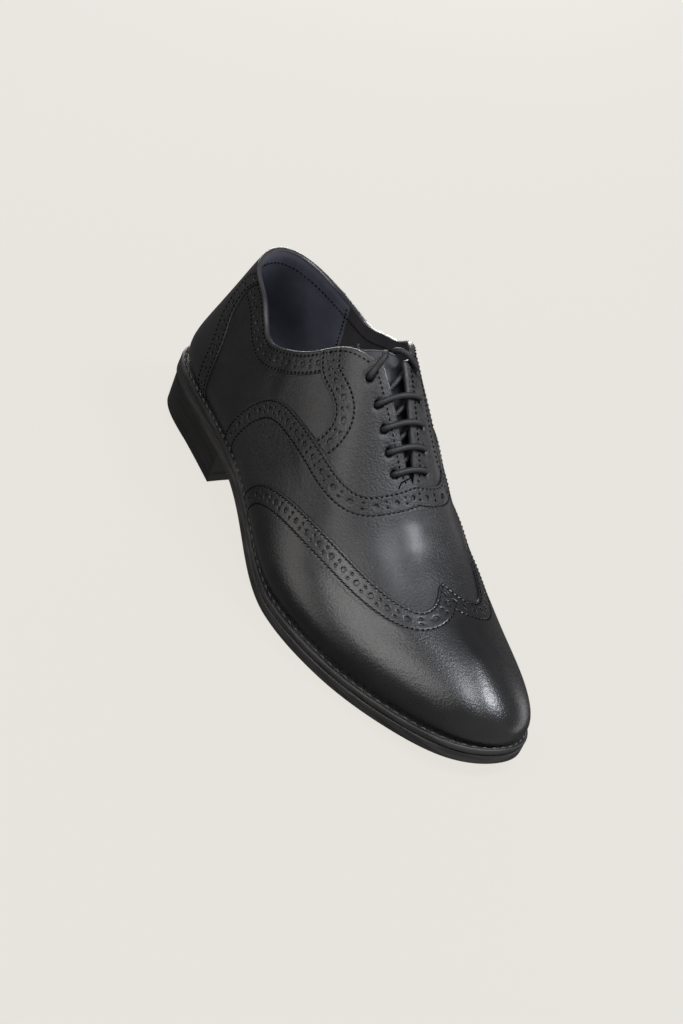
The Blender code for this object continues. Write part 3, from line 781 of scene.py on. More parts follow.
def stitches(name, rows, pitch=None, length=None, width=None, material=None):
    """Sewn rows as one mesh: each stitch is a short round thread, bowed up at its middle.

    Five rings of six points follow the row's own line, thickest in the middle, and the ends are closed.
    """
    leather = bpy.context.scene.brogue_leather
    pitch = pitch or leather.stitch_pitch
    length = length or leather.stitch_length
    radius = (width or leather.stitch_width) / 2
    patches = []
    for row in rows:
        points, normals = row if len(row) == 2 else (surface(*row), foot_normal(row[0], row[1]))
        run = run_along(points)
        count = max(1, int(run[-1] / pitch))
        centres = (np.arange(count) + 0.5) * run[-1] / count
        shares = np.linspace(-0.5, 0.5, 5)
        at = centres[:, None] + shares * length
        middle = np.stack([np.interp(at, run, points[:, axis]) for axis in range(3)], axis=-1)
        up = np.stack([np.interp(at, run, normals[:, axis]) for axis in range(3)], axis=-1)
        along = np.gradient(middle, axis=1)
        along /= np.linalg.norm(along, axis=-1, keepdims=True)
        side = np.cross(along, up)
        side /= np.linalg.norm(side, axis=-1, keepdims=True)
        thick = radius * np.sqrt(np.clip(1.06 - (2 * shares) ** 2, 0, None))
        bow = radius * (0.9 - 1.5 * (2 * shares) ** 2)
        turns = 2 * math.pi * np.arange(THREAD_SIDES) / THREAD_SIDES
        ring = (np.cos(turns)[None, None, :, None] * side[:, :, None]
                + np.sin(turns)[None, None, :, None] * up[:, :, None])
        body = (middle + up * bow[None, :, None])[:, :, None] + ring * thick[None, :, None, None]
        level, step = np.meshgrid(np.arange(4), np.arange(THREAD_SIDES), indexing="ij")
        after = (step + 1) % THREAD_SIDES
        low, high = level * THREAD_SIDES, (level + 1) * THREAD_SIDES
        sides = np.stack([low + step, high + step, high + after, low + after], axis=-1)
        caps = [(0, 1, 2, 3), (0, 3, 4, 5), (27, 26, 25, 24), (29, 28, 27, 24)]
        faces = np.concatenate([sides.reshape(-1, 4), np.array(caps)])
        faces = (faces[None] + (np.arange(count) * 5 * THREAD_SIDES)[:, None, None]).reshape(-1, 4)
        patches.append((body.reshape(-1, 3), faces))
    return add_piece(name, patches, material or thread_finish())


class Wire:
    """A shader socket that takes Python arithmetic: each operator adds one Math node."""

    def __init__(self, finish, socket):
        self.finish = finish
        self.socket = socket

    def math(self, operation, *values):
        node = self.finish.node("ShaderNodeMath", {"operation": operation})
        for socket, value in zip(node.inputs, (self, *values)):
            self.finish.feed(socket, value)
        return Wire(self.finish, node.outputs[0])

    def __add__(self, other):
        return self.math("ADD", other)

    def __sub__(self, other):
        return self.math("SUBTRACT", other)

    def __mul__(self, other):
        return self.math("MULTIPLY", other)

    def __rsub__(self, other):
        return self.math("MULTIPLY", -1.0).math("ADD", other)

    __radd__ = __add__
    __rmul__ = __mul__

    def between(self, low, high):
        """A smooth change from 0 to 1 as the value goes from low to high."""
        return self.finish.wire("ShaderNodeMapRange", "Result", {"interpolation_type": "SMOOTHSTEP"},
                                Value=self, From_Min=low, From_Max=high)


class Finish:
    """A material under one Principled shader, with its nodes made by one method."""

    def __init__(self, name, **constants):
        self.material = bpy.data.materials.new(name)
        self.material.use_nodes = True
        self.tree = self.material.node_tree
        self.shader = self.tree.nodes["Principled BSDF"]
        for socket, value in constants.items():
            self.feed(self.shader.inputs[socket.replace("_", " ")], value)
        self.place = self.wire("ShaderNodeTexCoord", "Object")

    def feed(self, socket, value):
        """Link a wire to a socket, or set its value."""
        if isinstance(value, Wire):
            self.tree.links.new(value.socket, socket)
        elif value is not None:
            socket.default_value = value

    def node(self, kind, settings=None, **sockets):
        """A node with its settings made first, then its sockets fed."""
        node = self.tree.nodes.new(kind)
        for key, value in (settings or {}).items():
            setattr(node, key, value)
        for key, value in sockets.items():
            self.feed(node.inputs[key.replace("_", " ")], value)
        return node

    def wire(self, kind, output, settings=None, **sockets):
        """One output of a new node, as a wire."""
        return Wire(self, self.node(kind, settings, **sockets).outputs[output])

    def noise(self, scale, detail=2.0, roughness=0.5, stretch=None, warp=0.0):
        """Noise over the piece, about 1/scale metres from blob to blob, stretched by axis if asked."""
        place = self.place
        if stretch:
            place = self.wire("ShaderNodeMapping", "Vector", Vector=place, Scale=stretch)
        return self.wire("ShaderNodeTexNoise", "Fac", Vector=place, Scale=scale, Detail=detail,
                         Roughness=roughness, Distortion=warp)

    def cells(self, scale):
        """Soft cell pattern over the piece, about 1/scale metres across a cell."""
        return self.wire("ShaderNodeTexVoronoi", "Distance", {"feature": "SMOOTH_F1"},
                         Vector=self.place, Scale=scale)

    def mix(self, share, first, second):
        """A colour between two, by a share."""
        node = self.node("ShaderNodeMix", {"data_type": "RGBA"})
        self.feed(node.inputs["Factor"], share)
        for name, value in (("A", first), ("B", second)):
            socket = [s for s in node.inputs if s.name == name and s.type == "RGBA"][0]
            self.feed(socket, value if isinstance(value, Wire) else (*value, 1.0))
        return Wire(self, [s for s in node.outputs if s.type == "RGBA"][0])

    def bump(self, height, depth, under=None):
        """A bump of a height from 0 to 1, over a depth in metres, on top of another."""
        return self.wire("ShaderNodeBump", "Normal", Height=height, Distance=depth, Strength=1.0,
                         Normal=under)

    def finish(self, colour, roughness, normal, coat=None):
        """Feed the shader and give the material."""
        self.feed(self.shader.inputs["Base Color"], colour if isinstance(colour, Wire) else (*colour, 1.0))
        self.feed(self.shader.inputs["Roughness"], roughness)
        self.feed(self.shader.inputs["Normal"], normal)
        if coat is not None:
            self.feed(self.shader.inputs["Coat Weight"], coat)
        return self.material


def calf_finish(name, grain, gloss, tone=1.0):
    """Polished black calf: fine cells of grain with pores, a soft uneven polish, and a thin wax coat.

    The tone multiplies both colours; a tone above one paints a highlight, as on the bound top edge.
    """
    leather = bpy.context.scene.brogue_leather
    made = Finish(name, IOR=1.5, Coat_Roughness=0.28, Coat_IOR=1.45)
    blotch = made.noise(38.0, 3.0, 0.55)
    pebble = made.cells(1000.0)
    pores = made.noise(2600.0, 3.0, 0.6)
    wrinkle = made.noise(420.0, 4.0, 0.6, warp=0.4)
    deep, worn = (tuple(tone * share for share in shade) for shade in (leather.colour, leather.worn_colour))
    colour = made.mix(blotch.between(0.3, 0.7), deep, worn)
    roughness = leather.roughness + (blotch - 0.5) * 0.12 + (pores - 0.5) * 0.16 - gloss
    normal = made.bump(wrinkle, 0.00010 * grain)
    normal = made.bump(pebble * 0.75 + pores * 0.5, 0.00013 * grain * leather.grain, normal)
    return made.finish(colour, roughness, normal, leather.coat * (0.7 + blotch * 0.6))


@functools.lru_cache(maxsize=None)
def thread_finish():
    """Black linen thread, matt, with a fine twist."""
    made = Finish("black_thread", IOR=1.18)
    twist = made.noise(1800.0, 2.0, 0.5, stretch=(1.0, 1.0, 1.6))
    colour = made.mix(twist, (0.0015, 0.0015, 0.0017), (0.004, 0.004, 0.0045))
    return made.finish(colour, twist * 0.1 + 0.85, made.bump(twist, 0.00008))


def lining_finish(name, dark, light):
    """Matt lining leather with faint rubbed patches and fine pores."""
    made = Finish(name, IOR=1.45)
    rubbed = made.noise(26.0, 3.0, 0.6)
    pores = made.noise(1900.0, 3.0, 0.6)
    colour = made.mix(rubbed.between(0.3, 0.72), dark, light)
    return made.finish(colour, 0.58 + (pores - 0.5) * 0.2, made.bump(pores, 0.00009))


def waxed_edge_finish(name, colour, lines):
    """Waxed edge leather: fibre lines along the layers, a dull wax shine and small rubs."""
    sole = bpy.context.scene.brogue_sole
    made = Finish(name, IOR=1.48, Coat_Roughness=0.35)
    fibres = made.noise(300.0, 4.0, 0.65, stretch=(0.12, 0.12, lines))
    rubs = made.noise(55.0, 4.0, 0.6)
    shade = made.mix(fibres.between(0.35, 0.75), colour, tuple(3.2 * c for c in colour))
    roughness = sole.edge_roughness + (rubs - 0.5) * 0.22 + (fibres - 0.5) * 0.12
    return made.finish(shade, roughness, made.bump(fibres, 0.00012), 0.12 + rubs * 0.12)


def length(name, description, default):
    """A setting in metres."""
    return FloatProperty(name=name, description=description, default=default, unit="LENGTH", precision=5)


def shade(name, description, default):
    """A colour setting."""
    return FloatVectorProperty(name=name, description=description, default=default, subtype="COLOR",
                               min=0, max=1)


class BrogueLeather(bpy.types.PropertyGroup):
    """Sizes and colours of the upper's leather, punching and sewing."""
    colour: shade("Colour", "Colour of the polished calf", (0.0105, 0.0105, 0.0115))
    worn_colour: shade("Worn colour", "Colour where the polish is thin", (0.017, 0.0168, 0.018))
    roughness: FloatProperty(name="Roughness", description="Roughness of the calf",
                             default=0.33, min=0.05, max=1)
    coat: FloatProperty(name="Wax coat", description="Weight of the wax coat", default=0.40, min=0, max=1)
    grain: FloatProperty(name="Grain", description="Strength of the fine grain", default=2.0, min=0, max=4)
    creasing: FloatProperty(name="Creasing", description="Strength of the hand-placed creases",
                            default=1.0, min=0, max=3)
    overlay: length("Overlay thickness", "Thickness of a panel at its cut edge", 0.00085)
    large_hole: length("Large hole", "Diameter of the large punched holes", 0.0023)
    small_hole: length("Small hole", "Diameter of the small punched holes", 0.0012)
    stitch_pitch: length("Stitch pitch", "Distance from stitch to stitch", 0.0025)
    stitch_length: length("Stitch length", "Length of a stitch that shows", 0.0017)
    stitch_width: length("Thread", "Thickness of the upper's thread", 0.00068)
    stitch_groove: length("Stitch groove", "Depth that the thread pulls into the leather", 0.00042)


class BrogueSole(bpy.types.PropertyGroup):
    """Sizes and colours of welt, outsole and heel."""
    welt_colour: shade("Welt colour", "Colour of the waxed welt and outsole", (0.021, 0.020, 0.020))
    edge_colour: shade("Heel colour", "Colour of the heel's waxed edge", (0.0065, 0.006, 0.006))
    edge_roughness: FloatProperty(name="Edge roughness", description="Roughness of the waxed edges",
                                  default=0.46, min=0.05, max=1)
    welt_pitch: length("Welt stitch pitch", "Distance between the welt's stitches", 0.0050)
    lift: length("Heel lift", "Thickness of one layer of the heel", 0.0050)


class BrogueLace(bpy.types.PropertyGroup):
    """Size and colour of the lace."""
    diameter: length("Diameter", "Diameter of the round lace", 0.0029)
    colour: shade("Colour", "Colour of the waxed cotton", (0.018, 0.018, 0.020))
    braid: length("Braid", "Height of the braid's strands", 0.00018)


class BrogueStage(bpy.types.PropertyGroup):
    """Floor and light."""
    floor_colour: shade("Floor", "Colour of the pale floor", (0.799, 0.776, 0.730))
    floor_glow: FloatProperty(name="Floor glow", default=0.96, min=0, max=1,
                              description="Share of the floor's tone that no shadow darkens")
    light: FloatProperty(name="Light", description="Strength of all the lamps", default=1.0, min=0)


def both_sides(places, climb):
    """Spots from signed places, negative on the inner side, and climbs from each side's own sole."""
    return np.broadcast_to(np.abs(places), climb.shape), np.where(places < 0, 180 - climb, climb)


def shell(count, rows, level=0.0, flip=False):
    """The whole upper's skin at a level, from the feather line to its top edge, open at the eyelets."""
    places = np.linspace(-TOE, TOE, count + 1)[:-1]
    climb = np.linspace(0, 1, rows)[:, None] * np.degrees(top_climb(places))
    points, faces = grid(surface(*both_sides(places, climb), level), closed=True)
    return outwards((points, open_at_eyelets(points, faces)), flip)


class BROGUE_OT_quarters(bpy.types.Operator):
    """Build the quarters: the bare skin of the upper with its bound top edge"""
    bl_idname = "brogue.quarters"
    bl_label = "Quarters"

    def execute(self, context):
        calf = calf_finish("calf_quarters", grain=0.7, gloss=0.02)
        # The binding is the calf at three times its colour: a painted highlight along the bound top edge.
        binding = calf_finish("calf_binding_painted_highlight", grain=0.5, gloss=0.04, tone=3.2)
        add_piece("quarters", [shell(count=480, rows=53)], calf, ("upper",))
        add_piece("top_binding", [rim(RIM_LEVEL)], binding)
        return {"FINISHED"}


class BROGUE_OT_lining(bpy.types.Operator):
    """Build the lining, the heel grip inside it and their seams"""
    bl_idname = "brogue.lining"
    bl_label = "Lining"

    def execute(self, context):
        skin = shell(count=320, rows=41, level=-UPPER_WALL, flip=True)
        dark = lining_finish("front_lining", (0.048, 0.045, 0.049), (0.088, 0.083, 0.088))
        navy = lining_finish("heel_lining", (0.105, 0.108, 0.145), (0.190, 0.195, 0.250))
        add_piece("lining", [skin], dark)
        add_piece("heel_grip", [self.grip()], navy)
        over_grip = -UPPER_WALL - GRIP_RISE - 0.0001
        places = np.linspace(-LINING_SEAM_END, LINING_SEAM_END, 500)
        spots = both_sides(places, np.degrees(top_climb(places)) - LINING_SEAM_CLIMB)
        rows = [(*spots, np.where(np.abs(places) < HEEL_GRIP_END, over_grip, -UPPER_WALL - 0.0001))]
        steps = np.linspace(0.04, 0.97, 120)
        for side in (-1, 1):
            places = np.full(steps.shape, -side * (HEEL_GRIP_END - 0.05))
            rows.append((*both_sides(places, steps * np.degrees(top_climb(places))),
                         np.full(steps.shape, over_grip)))
        rows = [(surface(*row), -foot_normal(row[0], row[1])) for row in rows]
        stitches("lining_stitching", rows, material=thread_finish())
        return {"FINISHED"}

    def grip(self):
        """The heel grip: the lining's shape raised inwards, thin at its front edges."""
        places = np.linspace(-HEEL_GRIP_END, HEEL_GRIP_END, 141)
        top = np.degrees(top_climb(places))
        climb = np.linspace(0, 1, 41)[:, None] * top
        place, turned = both_sides(places, climb)
        near_edge = (HEEL_GRIP_END - place) * ROW_LENGTH
        raised = GRIP_RISE * np.clip(near_edge / GRIP_ROUND, 0, 1) ** 0.5
        level = -UPPER_WALL - raised * np.clip((top - climb) / GRIP_TOP_CLIMB, 0, 1)
        return outwards(grid(surface(place, turned, level + 0.00005 * (raised == 0))), flip=True)


# The bound edge: its level over the upper's skin and how far it bulges upwards
RIM_LEVEL = 0.00075
RIM_BULGE = 0.0010


def rim(level):
    """The bound top edge: a flattened half round carried along the topline and both sides of the throat."""
    places = np.concatenate([np.linspace(-THROAT_FOOT, -3.5, 260)[:-1], np.linspace(-3.5, 3.5, 380),
                             np.linspace(3.5, THROAT_FOOT, 260)[1:]])
    spots = both_sides(places, np.degrees(top_climb(places)))
    path = surface(*spots)
    along = np.gradient(path, axis=0)
    along /= np.linalg.norm(along, axis=1, keepdims=True)
    normal = foot_normal(*spots)
    up = np.cross(normal, along)
    turns = np.linspace(0, math.pi, 11)[:, None]
    middle, half = (level - UPPER_WALL) / 2, (level + UPPER_WALL) / 2
    across = middle + half * np.cos(turns)
    out = RIM_BULGE * np.sin(turns)
    points = path + normal * across[..., None] + up * out[..., None]
    return outwards(grid(points))


def eyelet_across(place, side):
    """Y of an eyelet, inside the facing's edge: side is -1 for the outer facing and 1 for the inner."""
    return throat(place, "middle") + side * (throat(place, "half_width") + EYELET_FROM_EDGE)


def open_at_eyelets(points, faces):
    """The faces less those around each eyelet, where the facing's own hole goes through."""
    centres = points[faces].mean(axis=1)
    keep = np.ones(len(faces), bool)
    for place in EYELET_PLACES:
        for side in (-1, 1):
            spot = instep(place, eyelet_across(place, side), 0.0) + SHIFT
            keep &= np.linalg.norm(centres - spot, axis=1) > EYELET_RADIUS + UPPER_WALL * 0.75
    return faces[keep]


# The facings: eyelet holes, eyelet strip, levels, and what the vamp and the wing do over them
EYELET_RADIUS = 0.0015
FACING_STRIP = 0.0110
FACING_SPACING = 0.0009
FACING_FOOT = 5.74
FACING_LEVEL = 0.0007
FACING_TUCK = 0.20
FACING_STEP_START, FACING_STEP_RUN = 36, 7
VAMP_HIDDEN = 0.38
WING_LIFT = 0.0004

# The sewn bar at the foot of the slit, the seams beside it, the eyelets' dimples and the collar's lift
SLIT_BAR = ((5.47, 88.0), (5.51, 86.5), (5.53, 83.5), (5.56, 80.5), (5.60, 79.4))
SLIT_SEAM = 0.0030
SLIT_SEAM_START = 4.33
TOP_SEAM_END = 4.22
TOP_SEAM_CLIMB = 1.9
DIMPLE_DEPTH = 0.00028
DIMPLE_REACH = 0.0011
DIMPLE_FLOOR = 0.0003
COLLAR_LIFT = 0.0005
COLLAR_LIFT_COLUMNS = 26.0
SOLE_ENDS = (lambda p: np.zeros(p.shape), lambda p: np.full(p.shape, 180.0))


def collar_rise(line):
    """Level of a cut edge that begins at the topline: the overlay's own, raised where the binding is."""
    thickness = bpy.context.scene.brogue_leather.overlay
    return thickness + COLLAR_LIFT * np.exp(-(np.arange(len(line)) / COLLAR_LIFT_COLUMNS) ** 4)


def facing_strip(side):
    """The facing's strip along the throat with its five eyelets: a cut sheet laid over place and distance.

    The sheet's first axis is the place times the row length and its second the distance from the
    throat's edge across the foot. Its border follows the topline, and its holes go right through.
    """
    distances = np.linspace(0, FACING_STRIP, 16)
    search = np.linspace(3.3, FACING_CORNER, 700)
    top = top_line(search, side)
    starts = np.array([search[np.argmax((top - strip_climb(search, distance, side)) * -side > -0.02)]
                       for distance in distances])
    count, inside = 70, distances[1:-1]
    inner_places = np.linspace(FACING_FOOT, starts[-1], count)
    edge_places = np.linspace(starts[0], FACING_FOOT, count)
    border = np.concatenate([
        np.column_stack([edge_places, np.zeros(count)]),
        np.column_stack([np.full(len(inside), FACING_FOOT), inside]),
        np.column_stack([inner_places, np.full(count, FACING_STRIP)]),
        np.column_stack([starts[1:-1][::-1], inside[::-1]]),
    ]) * (ROW_LENGTH, 1)
    holes = [(at * ROW_LENGTH, EYELET_FROM_EDGE, EYELET_RADIUS, 24) for at in EYELET_PLACES]
    plan, pit, faces = cut_sheet(border, holes, FACING_SPACING)
    place = plan[:, 0] / ROW_LENGTH
    climb = strip_climb(place, plan[:, 1], side)
    level = facing_level(place, climb) - pit * (FACING_LEVEL + UPPER_WALL) / HOLE_DEPTH
    dimple = 0.0
    for x, y, _, _ in holes:
        away = np.hypot(plan[:, 0] - x, plan[:, 1] - y)
        dimple = dimple + DIMPLE_DEPTH * np.exp(-((away - EYELET_RADIUS) / DIMPLE_REACH).clip(0) ** 2)
    level = level - np.where(pit < DIMPLE_FLOOR, dimple, 0)
    points = surface(place, climb, level)
    solid = faces[~(pit[faces] >= HOLE_DEPTH * 0.99).all(axis=1)]
    inner = np.column_stack([inner_places[::-1], strip_climb(inner_places[::-1], FACING_STRIP, side)])
    return outwards((points, solid)), inner


def strip_climb(place, distance, side):
    """Climb of the spot at a distance from the throat's edge, towards the side."""
    across = throat(place, "middle") + side * (throat(place, "half_width") + distance)
    return climb_at(np.asarray(place, float), across)


def under_the_vamp(place, climb):
    """Share from 0 outside the vamp's edge to 1 some millimetres inside it."""
    outer = np.interp(climb, *zip(*[(c, p) for p, c in VAMP_OUTER]))
    inner = np.interp(180 - climb, *zip(*[(c, p) for p, c in VAMP_INNER]))
    edge = np.where(climb > 90, inner, outer)
    return np.clip(((place - edge) * ROW_LENGTH - 0.0015) / 0.004, 0, 1)


def facing_level(place, climb):
    """Level of the facing, which thins where the vamp covers it."""
    return FACING_LEVEL * (1 - COVERED_THINNING * under_the_vamp(place, climb))


class BROGUE_OT_facings(bpy.types.Operator):
    """Build the two facings with their eyelets, punched rear edges and sewn rows"""
    bl_idname = "brogue.facings"
    bl_label = "Facings"

    def execute(self, context):
        for side, name in ((-1, "outer_facing"), (1, "inner_facing")):
            edge = edge_from_top(FACING_REAR if side < 0 else FACING_REAR_INNER, side, equal_climb)
            ends = (lambda p: top_line(p, side), None)
            panel = Panel(edge, -side, ends, collar_rise, sink=FACING_LEVEL, fade=0.006,
                          covered=under_the_vamp)
            strip, right = facing_strip(side)
            left = panel.inner()
            patches = panel.strip() + [strip, facing_body(left, even_between(right, len(left)), side)]
            add_piece(name, patches, calf_finish("calf_" + name, grain=1.3, gloss=0.0))
            places = np.linspace(SLIT_SEAM_START, THROAT_FOOT - 0.02, 200)
            climb = strip_climb(places, SLIT_SEAM, side)
            slit = (places, climb, facing_level(places, climb))
            start = float(panel.at(np.array(0.0), np.array(EDGE_SEAM))[0])
            places = np.linspace(start, TOP_SEAM_END, 160)
            under = top_line(places, side) + side * TOP_SEAM_CLIMB
            over = (places, under, np.full(places.shape, FACING_LEVEL + 0.0001))
            stitches(name + "_stitching", panel.seams() + [slit, over])
        bar, _ = even_line(SLIT_BAR, count=40)
        level = facing_level(bar[:, 0], bar[:, 1]) + 0.0001
        stitches("slit_bar", [(bar[:, 0], bar[:, 1], level)], pitch=0.0009, length=0.0012)
        return {"FINISHED"}


def even_between(line, count):
    """The same line with another count of spots."""
    at = np.linspace(0, len(line) - 1, count)
    return np.column_stack([np.interp(at, np.arange(len(line)), line[:, axis]) for axis in range(2)])


def facing_body(left, right, side):
    """The facing between its punched strip and its eyelet strip: a Coons patch under the topline."""
    u = np.linspace(0, 1, 31)
    top_places = left[0, 0] + (right[0, 0] - left[0, 0]) * u
    top = np.column_stack([top_places, top_line(top_places, side)])
    bottom = left[-1] + (right[-1] - left[-1]) * u[:, None]
    bottom[:, 0] += FACING_TUCK * np.sin(math.pi * u)
    spots = coons(left, right, top, bottom, u, (left[0], right[0], left[-1], right[-1]))
    place, climb = spots[..., 0], spots[..., 1]
    return outwards(grid(surface(place, climb, facing_level(place, climb))))


class BROGUE_OT_counter(bpy.types.Operator):
    """Build the counter round the heel with its punched front edges"""
    bl_idname = "brogue.counter"
    bl_label = "Counter"

    def execute(self, context):
        patches, rows = [], []
        for side in (-1, 1):
            edge = edge_from_top(COUNTER_FRONT, side)
            sole, foot_climb = (SOLE_ENDS[0], 0.0) if side < 0 else (SOLE_ENDS[1], 180.0)
            ends = (lambda p: top_line(p, side), sole)
            panel = Panel(edge, side, ends, collar_rise, sink=0.0004, fade=0.020, repeats=8)
            left = panel.inner()
            down = np.linspace(float(top_line(0.0, side)), foot_climb, len(left))
            right = np.column_stack([np.zeros(len(left)), down])
            top = lambda u: np.column_stack([left[0, 0] * (1 - u), top_line(left[0, 0] * (1 - u), side)])
            bottom = along_the_sole(left, right, -1, foot_climb)
            patches += panel.strip() + [panel.body(right, top, bottom, steps=26)]
            rows += panel.seams()
        add_piece("counter", patches, calf_finish("calf_counter", grain=0.6, gloss=0.04))
        stitches("counter_stitching", rows)
        return {"FINISHED"}


class BROGUE_OT_collar(bpy.types.Operator):
    """Build the punched collar strips between counter and facings"""
    bl_idname = "brogue.collar"
    bl_label = "Collar strips"

    def execute(self, context):
        for side, name in ((-1, "outer_collar"), (1, "inner_collar")):
            places = np.linspace(*COLLAR_ENDS, 12)
            edge = np.column_stack([places, top_line(places, side)])
            panel = Panel(edge, side, (None, None), rise=0.0006, sink=0.0006, fade=0.02, rolled="far")
            calf = calf_finish("calf_" + name, grain=0.7, gloss=0.02)
            add_piece(name, panel.strip(), calf)
            stitches(name + "_stitching", panel.seams())
        return {"FINISHED"}


def along_the_sole(left, right, end, climb):
    """A piece's end at the sole: from the left line's end to the right line's, along the feather line."""
    start, stop = left[end, 0], right[end, 0]
    return lambda u: np.column_stack([start + (stop - start) * u, np.full(len(u), climb)])


def over_the_foot(outer, inner):
    """One edge over the foot from its outer and inner halves."""
    return [*outer, *((place, 180 - climb) for place, climb in inner[::-1])]


class BROGUE_OT_vamp(bpy.types.Operator):
    """Build the vamp with its punched top edge"""
    bl_idname = "brogue.vamp"
    bl_label = "Vamp"

    def execute(self, context):
        thickness = context.scene.brogue_leather.overlay

        def rise(line):
            above = np.where(line[:, 1] > 90, 180 - line[:, 1], line[:, 1])
            on_facing = np.clip((above - FACING_STEP_START) / FACING_STEP_RUN, 0, 1)
            return thickness + FACING_LEVEL * on_facing * on_facing * (3 - 2 * on_facing)

        edge = over_the_foot(VAMP_OUTER, VAMP_INNER)
        panel = Panel(edge, -1, SOLE_ENDS, rise, sink=0.00035, fade=0.022)
        left = panel.inner()
        wing, _ = even_line(over_the_foot(WING_OUTER, WING_INNER), count=600)
        right = np.column_stack([np.interp(left[:, 1], wing[:, 1], wing[:, 0]) + VAMP_HIDDEN, left[:, 1]])
        top, bottom = along_the_sole(left, right, 0, 0.0), along_the_sole(left, right, -1, 180.0)
        patches = panel.strip() + [panel.body(right, top, bottom, steps=34)]
        add_piece("vamp", patches, calf_finish("calf_vamp", grain=1.6, gloss=0.0))
        stitches("vamp_stitching", panel.seams())
        return {"FINISHED"}


class BROGUE_OT_wing_cap(bpy.types.Operator):
    """Build the wing cap over the toe, with its peak and punched edge"""
    bl_idname = "brogue.wing_cap"
    bl_label = "Wing cap"

    def execute(self, context):
        rise = WING_LIFT + context.scene.brogue_leather.overlay
        edge = over_the_foot(WING_OUTER, WING_INNER)
        panel = Panel(edge, -1, SOLE_ENDS, rise, sink=0.00035, fade=0.022)
        left = panel.inner()
        share = np.linspace(0, 1, len(left))
        right = np.column_stack([np.full(len(left), float(TOE)), 180 * share])
        top, bottom = along_the_sole(left, right, 0, 0.0), along_the_sole(left, right, -1, 180.0)
        patches = panel.strip() + [panel.body(right, top, bottom, steps=60)]
        add_piece("wing_cap", patches, calf_finish("calf_wing", grain=0.42, gloss=0.08))
        stitches("wing_stitching", panel.seams())
        return {"FINISHED"}


# The welt's seam and its thread, and the grooves between the heel's layers
WELT_SEAM_SHARE = 0.52
WELT_THREAD = 0.0009
TOP_PIECE_SEAM = 0.00022
LAYER_SEAM = 0.00005


def sole_ring(places, offset, share_of_reach, height):
    """A ring of the sole: an offset from the last with a share of the welt's reach, at a height over x."""
    reach = WELT_REACH * section(places)[..., 5] * share_of_reach
    plan = outline(places, reach + offset)
    return np.column_stack([plan, height(plan[:, 0])])


def ring_places(count):
    """Signed places once round the feather line, evenly in the chart."""
    return np.linspace(-TOE, TOE, count + 1)[:-1]


def profile_rings(count, profile):
    """The rings of a profile: each row gives an offset, a share of the reach, a height and a rise."""
    places = ring_places(count)
    return np.array([sole_ring(places, offset, share, lambda x: height(x) + rise)
                     for offset, share, height, rise in profile])


def filled(ring, height, steps=24):
    """A face inside a ring of the sole: straight lines from side to side, at a height over x."""
    half = len(ring) // 2
    outer, inner = ring[half:], np.concatenate([ring[half:half + 1], ring[half - 1:0:-1]])
    share = np.linspace(0, 1, steps + 1)[None, :, None]
    points = outer[:, None] * (1 - share) + inner[:, None] * share
    points[..., 2] = height(points[..., 0])
    tip = np.broadcast_to(ring[0], (1, steps + 1, 3))
    return np.concatenate([points, tip])


class BROGUE_OT_welt(bpy.types.Operator):
    """Build the stitched welt"""
    bl_idname = "brogue.welt"
    bl_label = "Welt"

    def execute(self, context):
        sole = context.scene.brogue_sole
        inner = -(UPPER_WALL + GAP)
        low = lambda x: outsole_top(x) + GAP
        high = feather_height
        rings = profile_rings(720, (
            (inner, 0, low, 0), (-0.0008, 1, low, 0), (-0.0002, 1, low, 0.0002), (0, 1, low, 0.0008),
            (0, 1, high, -0.0011), (-0.0002, 1, high, -0.0005), (-0.0006, 1, high, -0.0001),
            (-0.0011, 1, high, 0), (0, 0.66, high, 0), (0, 0.59, high, -0.0003),
            (0, WELT_SEAM_SHARE, high, -0.0004), (0, 0.45, high, -0.0003), (0, 0.38, high, 0),
            (0, 0.24, high, 0), (0.0004, 0, high, 0.0003), (-0.0004, 0, high, 0.0004), (inner, 0, high, 0),
            (inner, 0, low, 0),
        ))
        waxed = waxed_edge_finish("waxed_welt", tuple(sole.welt_colour), 1.2)
        turn_out(add_piece("stitched_welt", [grid(rings + SHIFT, closed=True)], waxed,
                           ("welt",)))
        places = np.linspace(-TOE, TOE, 2400)
        line = sole_ring(places, 0, WELT_SEAM_SHARE, lambda x: high(x) - 0.0001) + SHIFT
        up = np.broadcast_to((0.0, 0.0, 1.0), line.shape)
        # The welt thread is pale grey, far paler than the welt; its paleness is a painted highlight that
        # makes each stitch a bright dot.
        made = Finish("welt_thread_painted_highlight", IOR=1.45)
        twist = made.noise(1500.0)
        thread = made.finish(made.mix(twist, (0.05, 0.05, 0.052), (0.16, 0.16, 0.165)), twist * 0.2 + 0.5,
                             made.bump(twist, 0.0001))
        stitches("welt_stitching", [(line, up)], pitch=sole.welt_pitch,
                 length=0.72 * sole.welt_pitch, width=WELT_THREAD, material=thread)
        return {"FINISHED"}


def turn_out(piece, close=False):
    """Turn all faces of a piece outwards, with its open ends filled first if asked."""
    tidy = bmesh.new()
    tidy.from_mesh(piece.data)
    if close:
        bmesh.ops.holes_fill(tidy, edges=tidy.edges, sides=0)
    bmesh.ops.recalc_face_normals(tidy, faces=tidy.faces)
    tidy.to_mesh(piece.data)
    tidy.free()


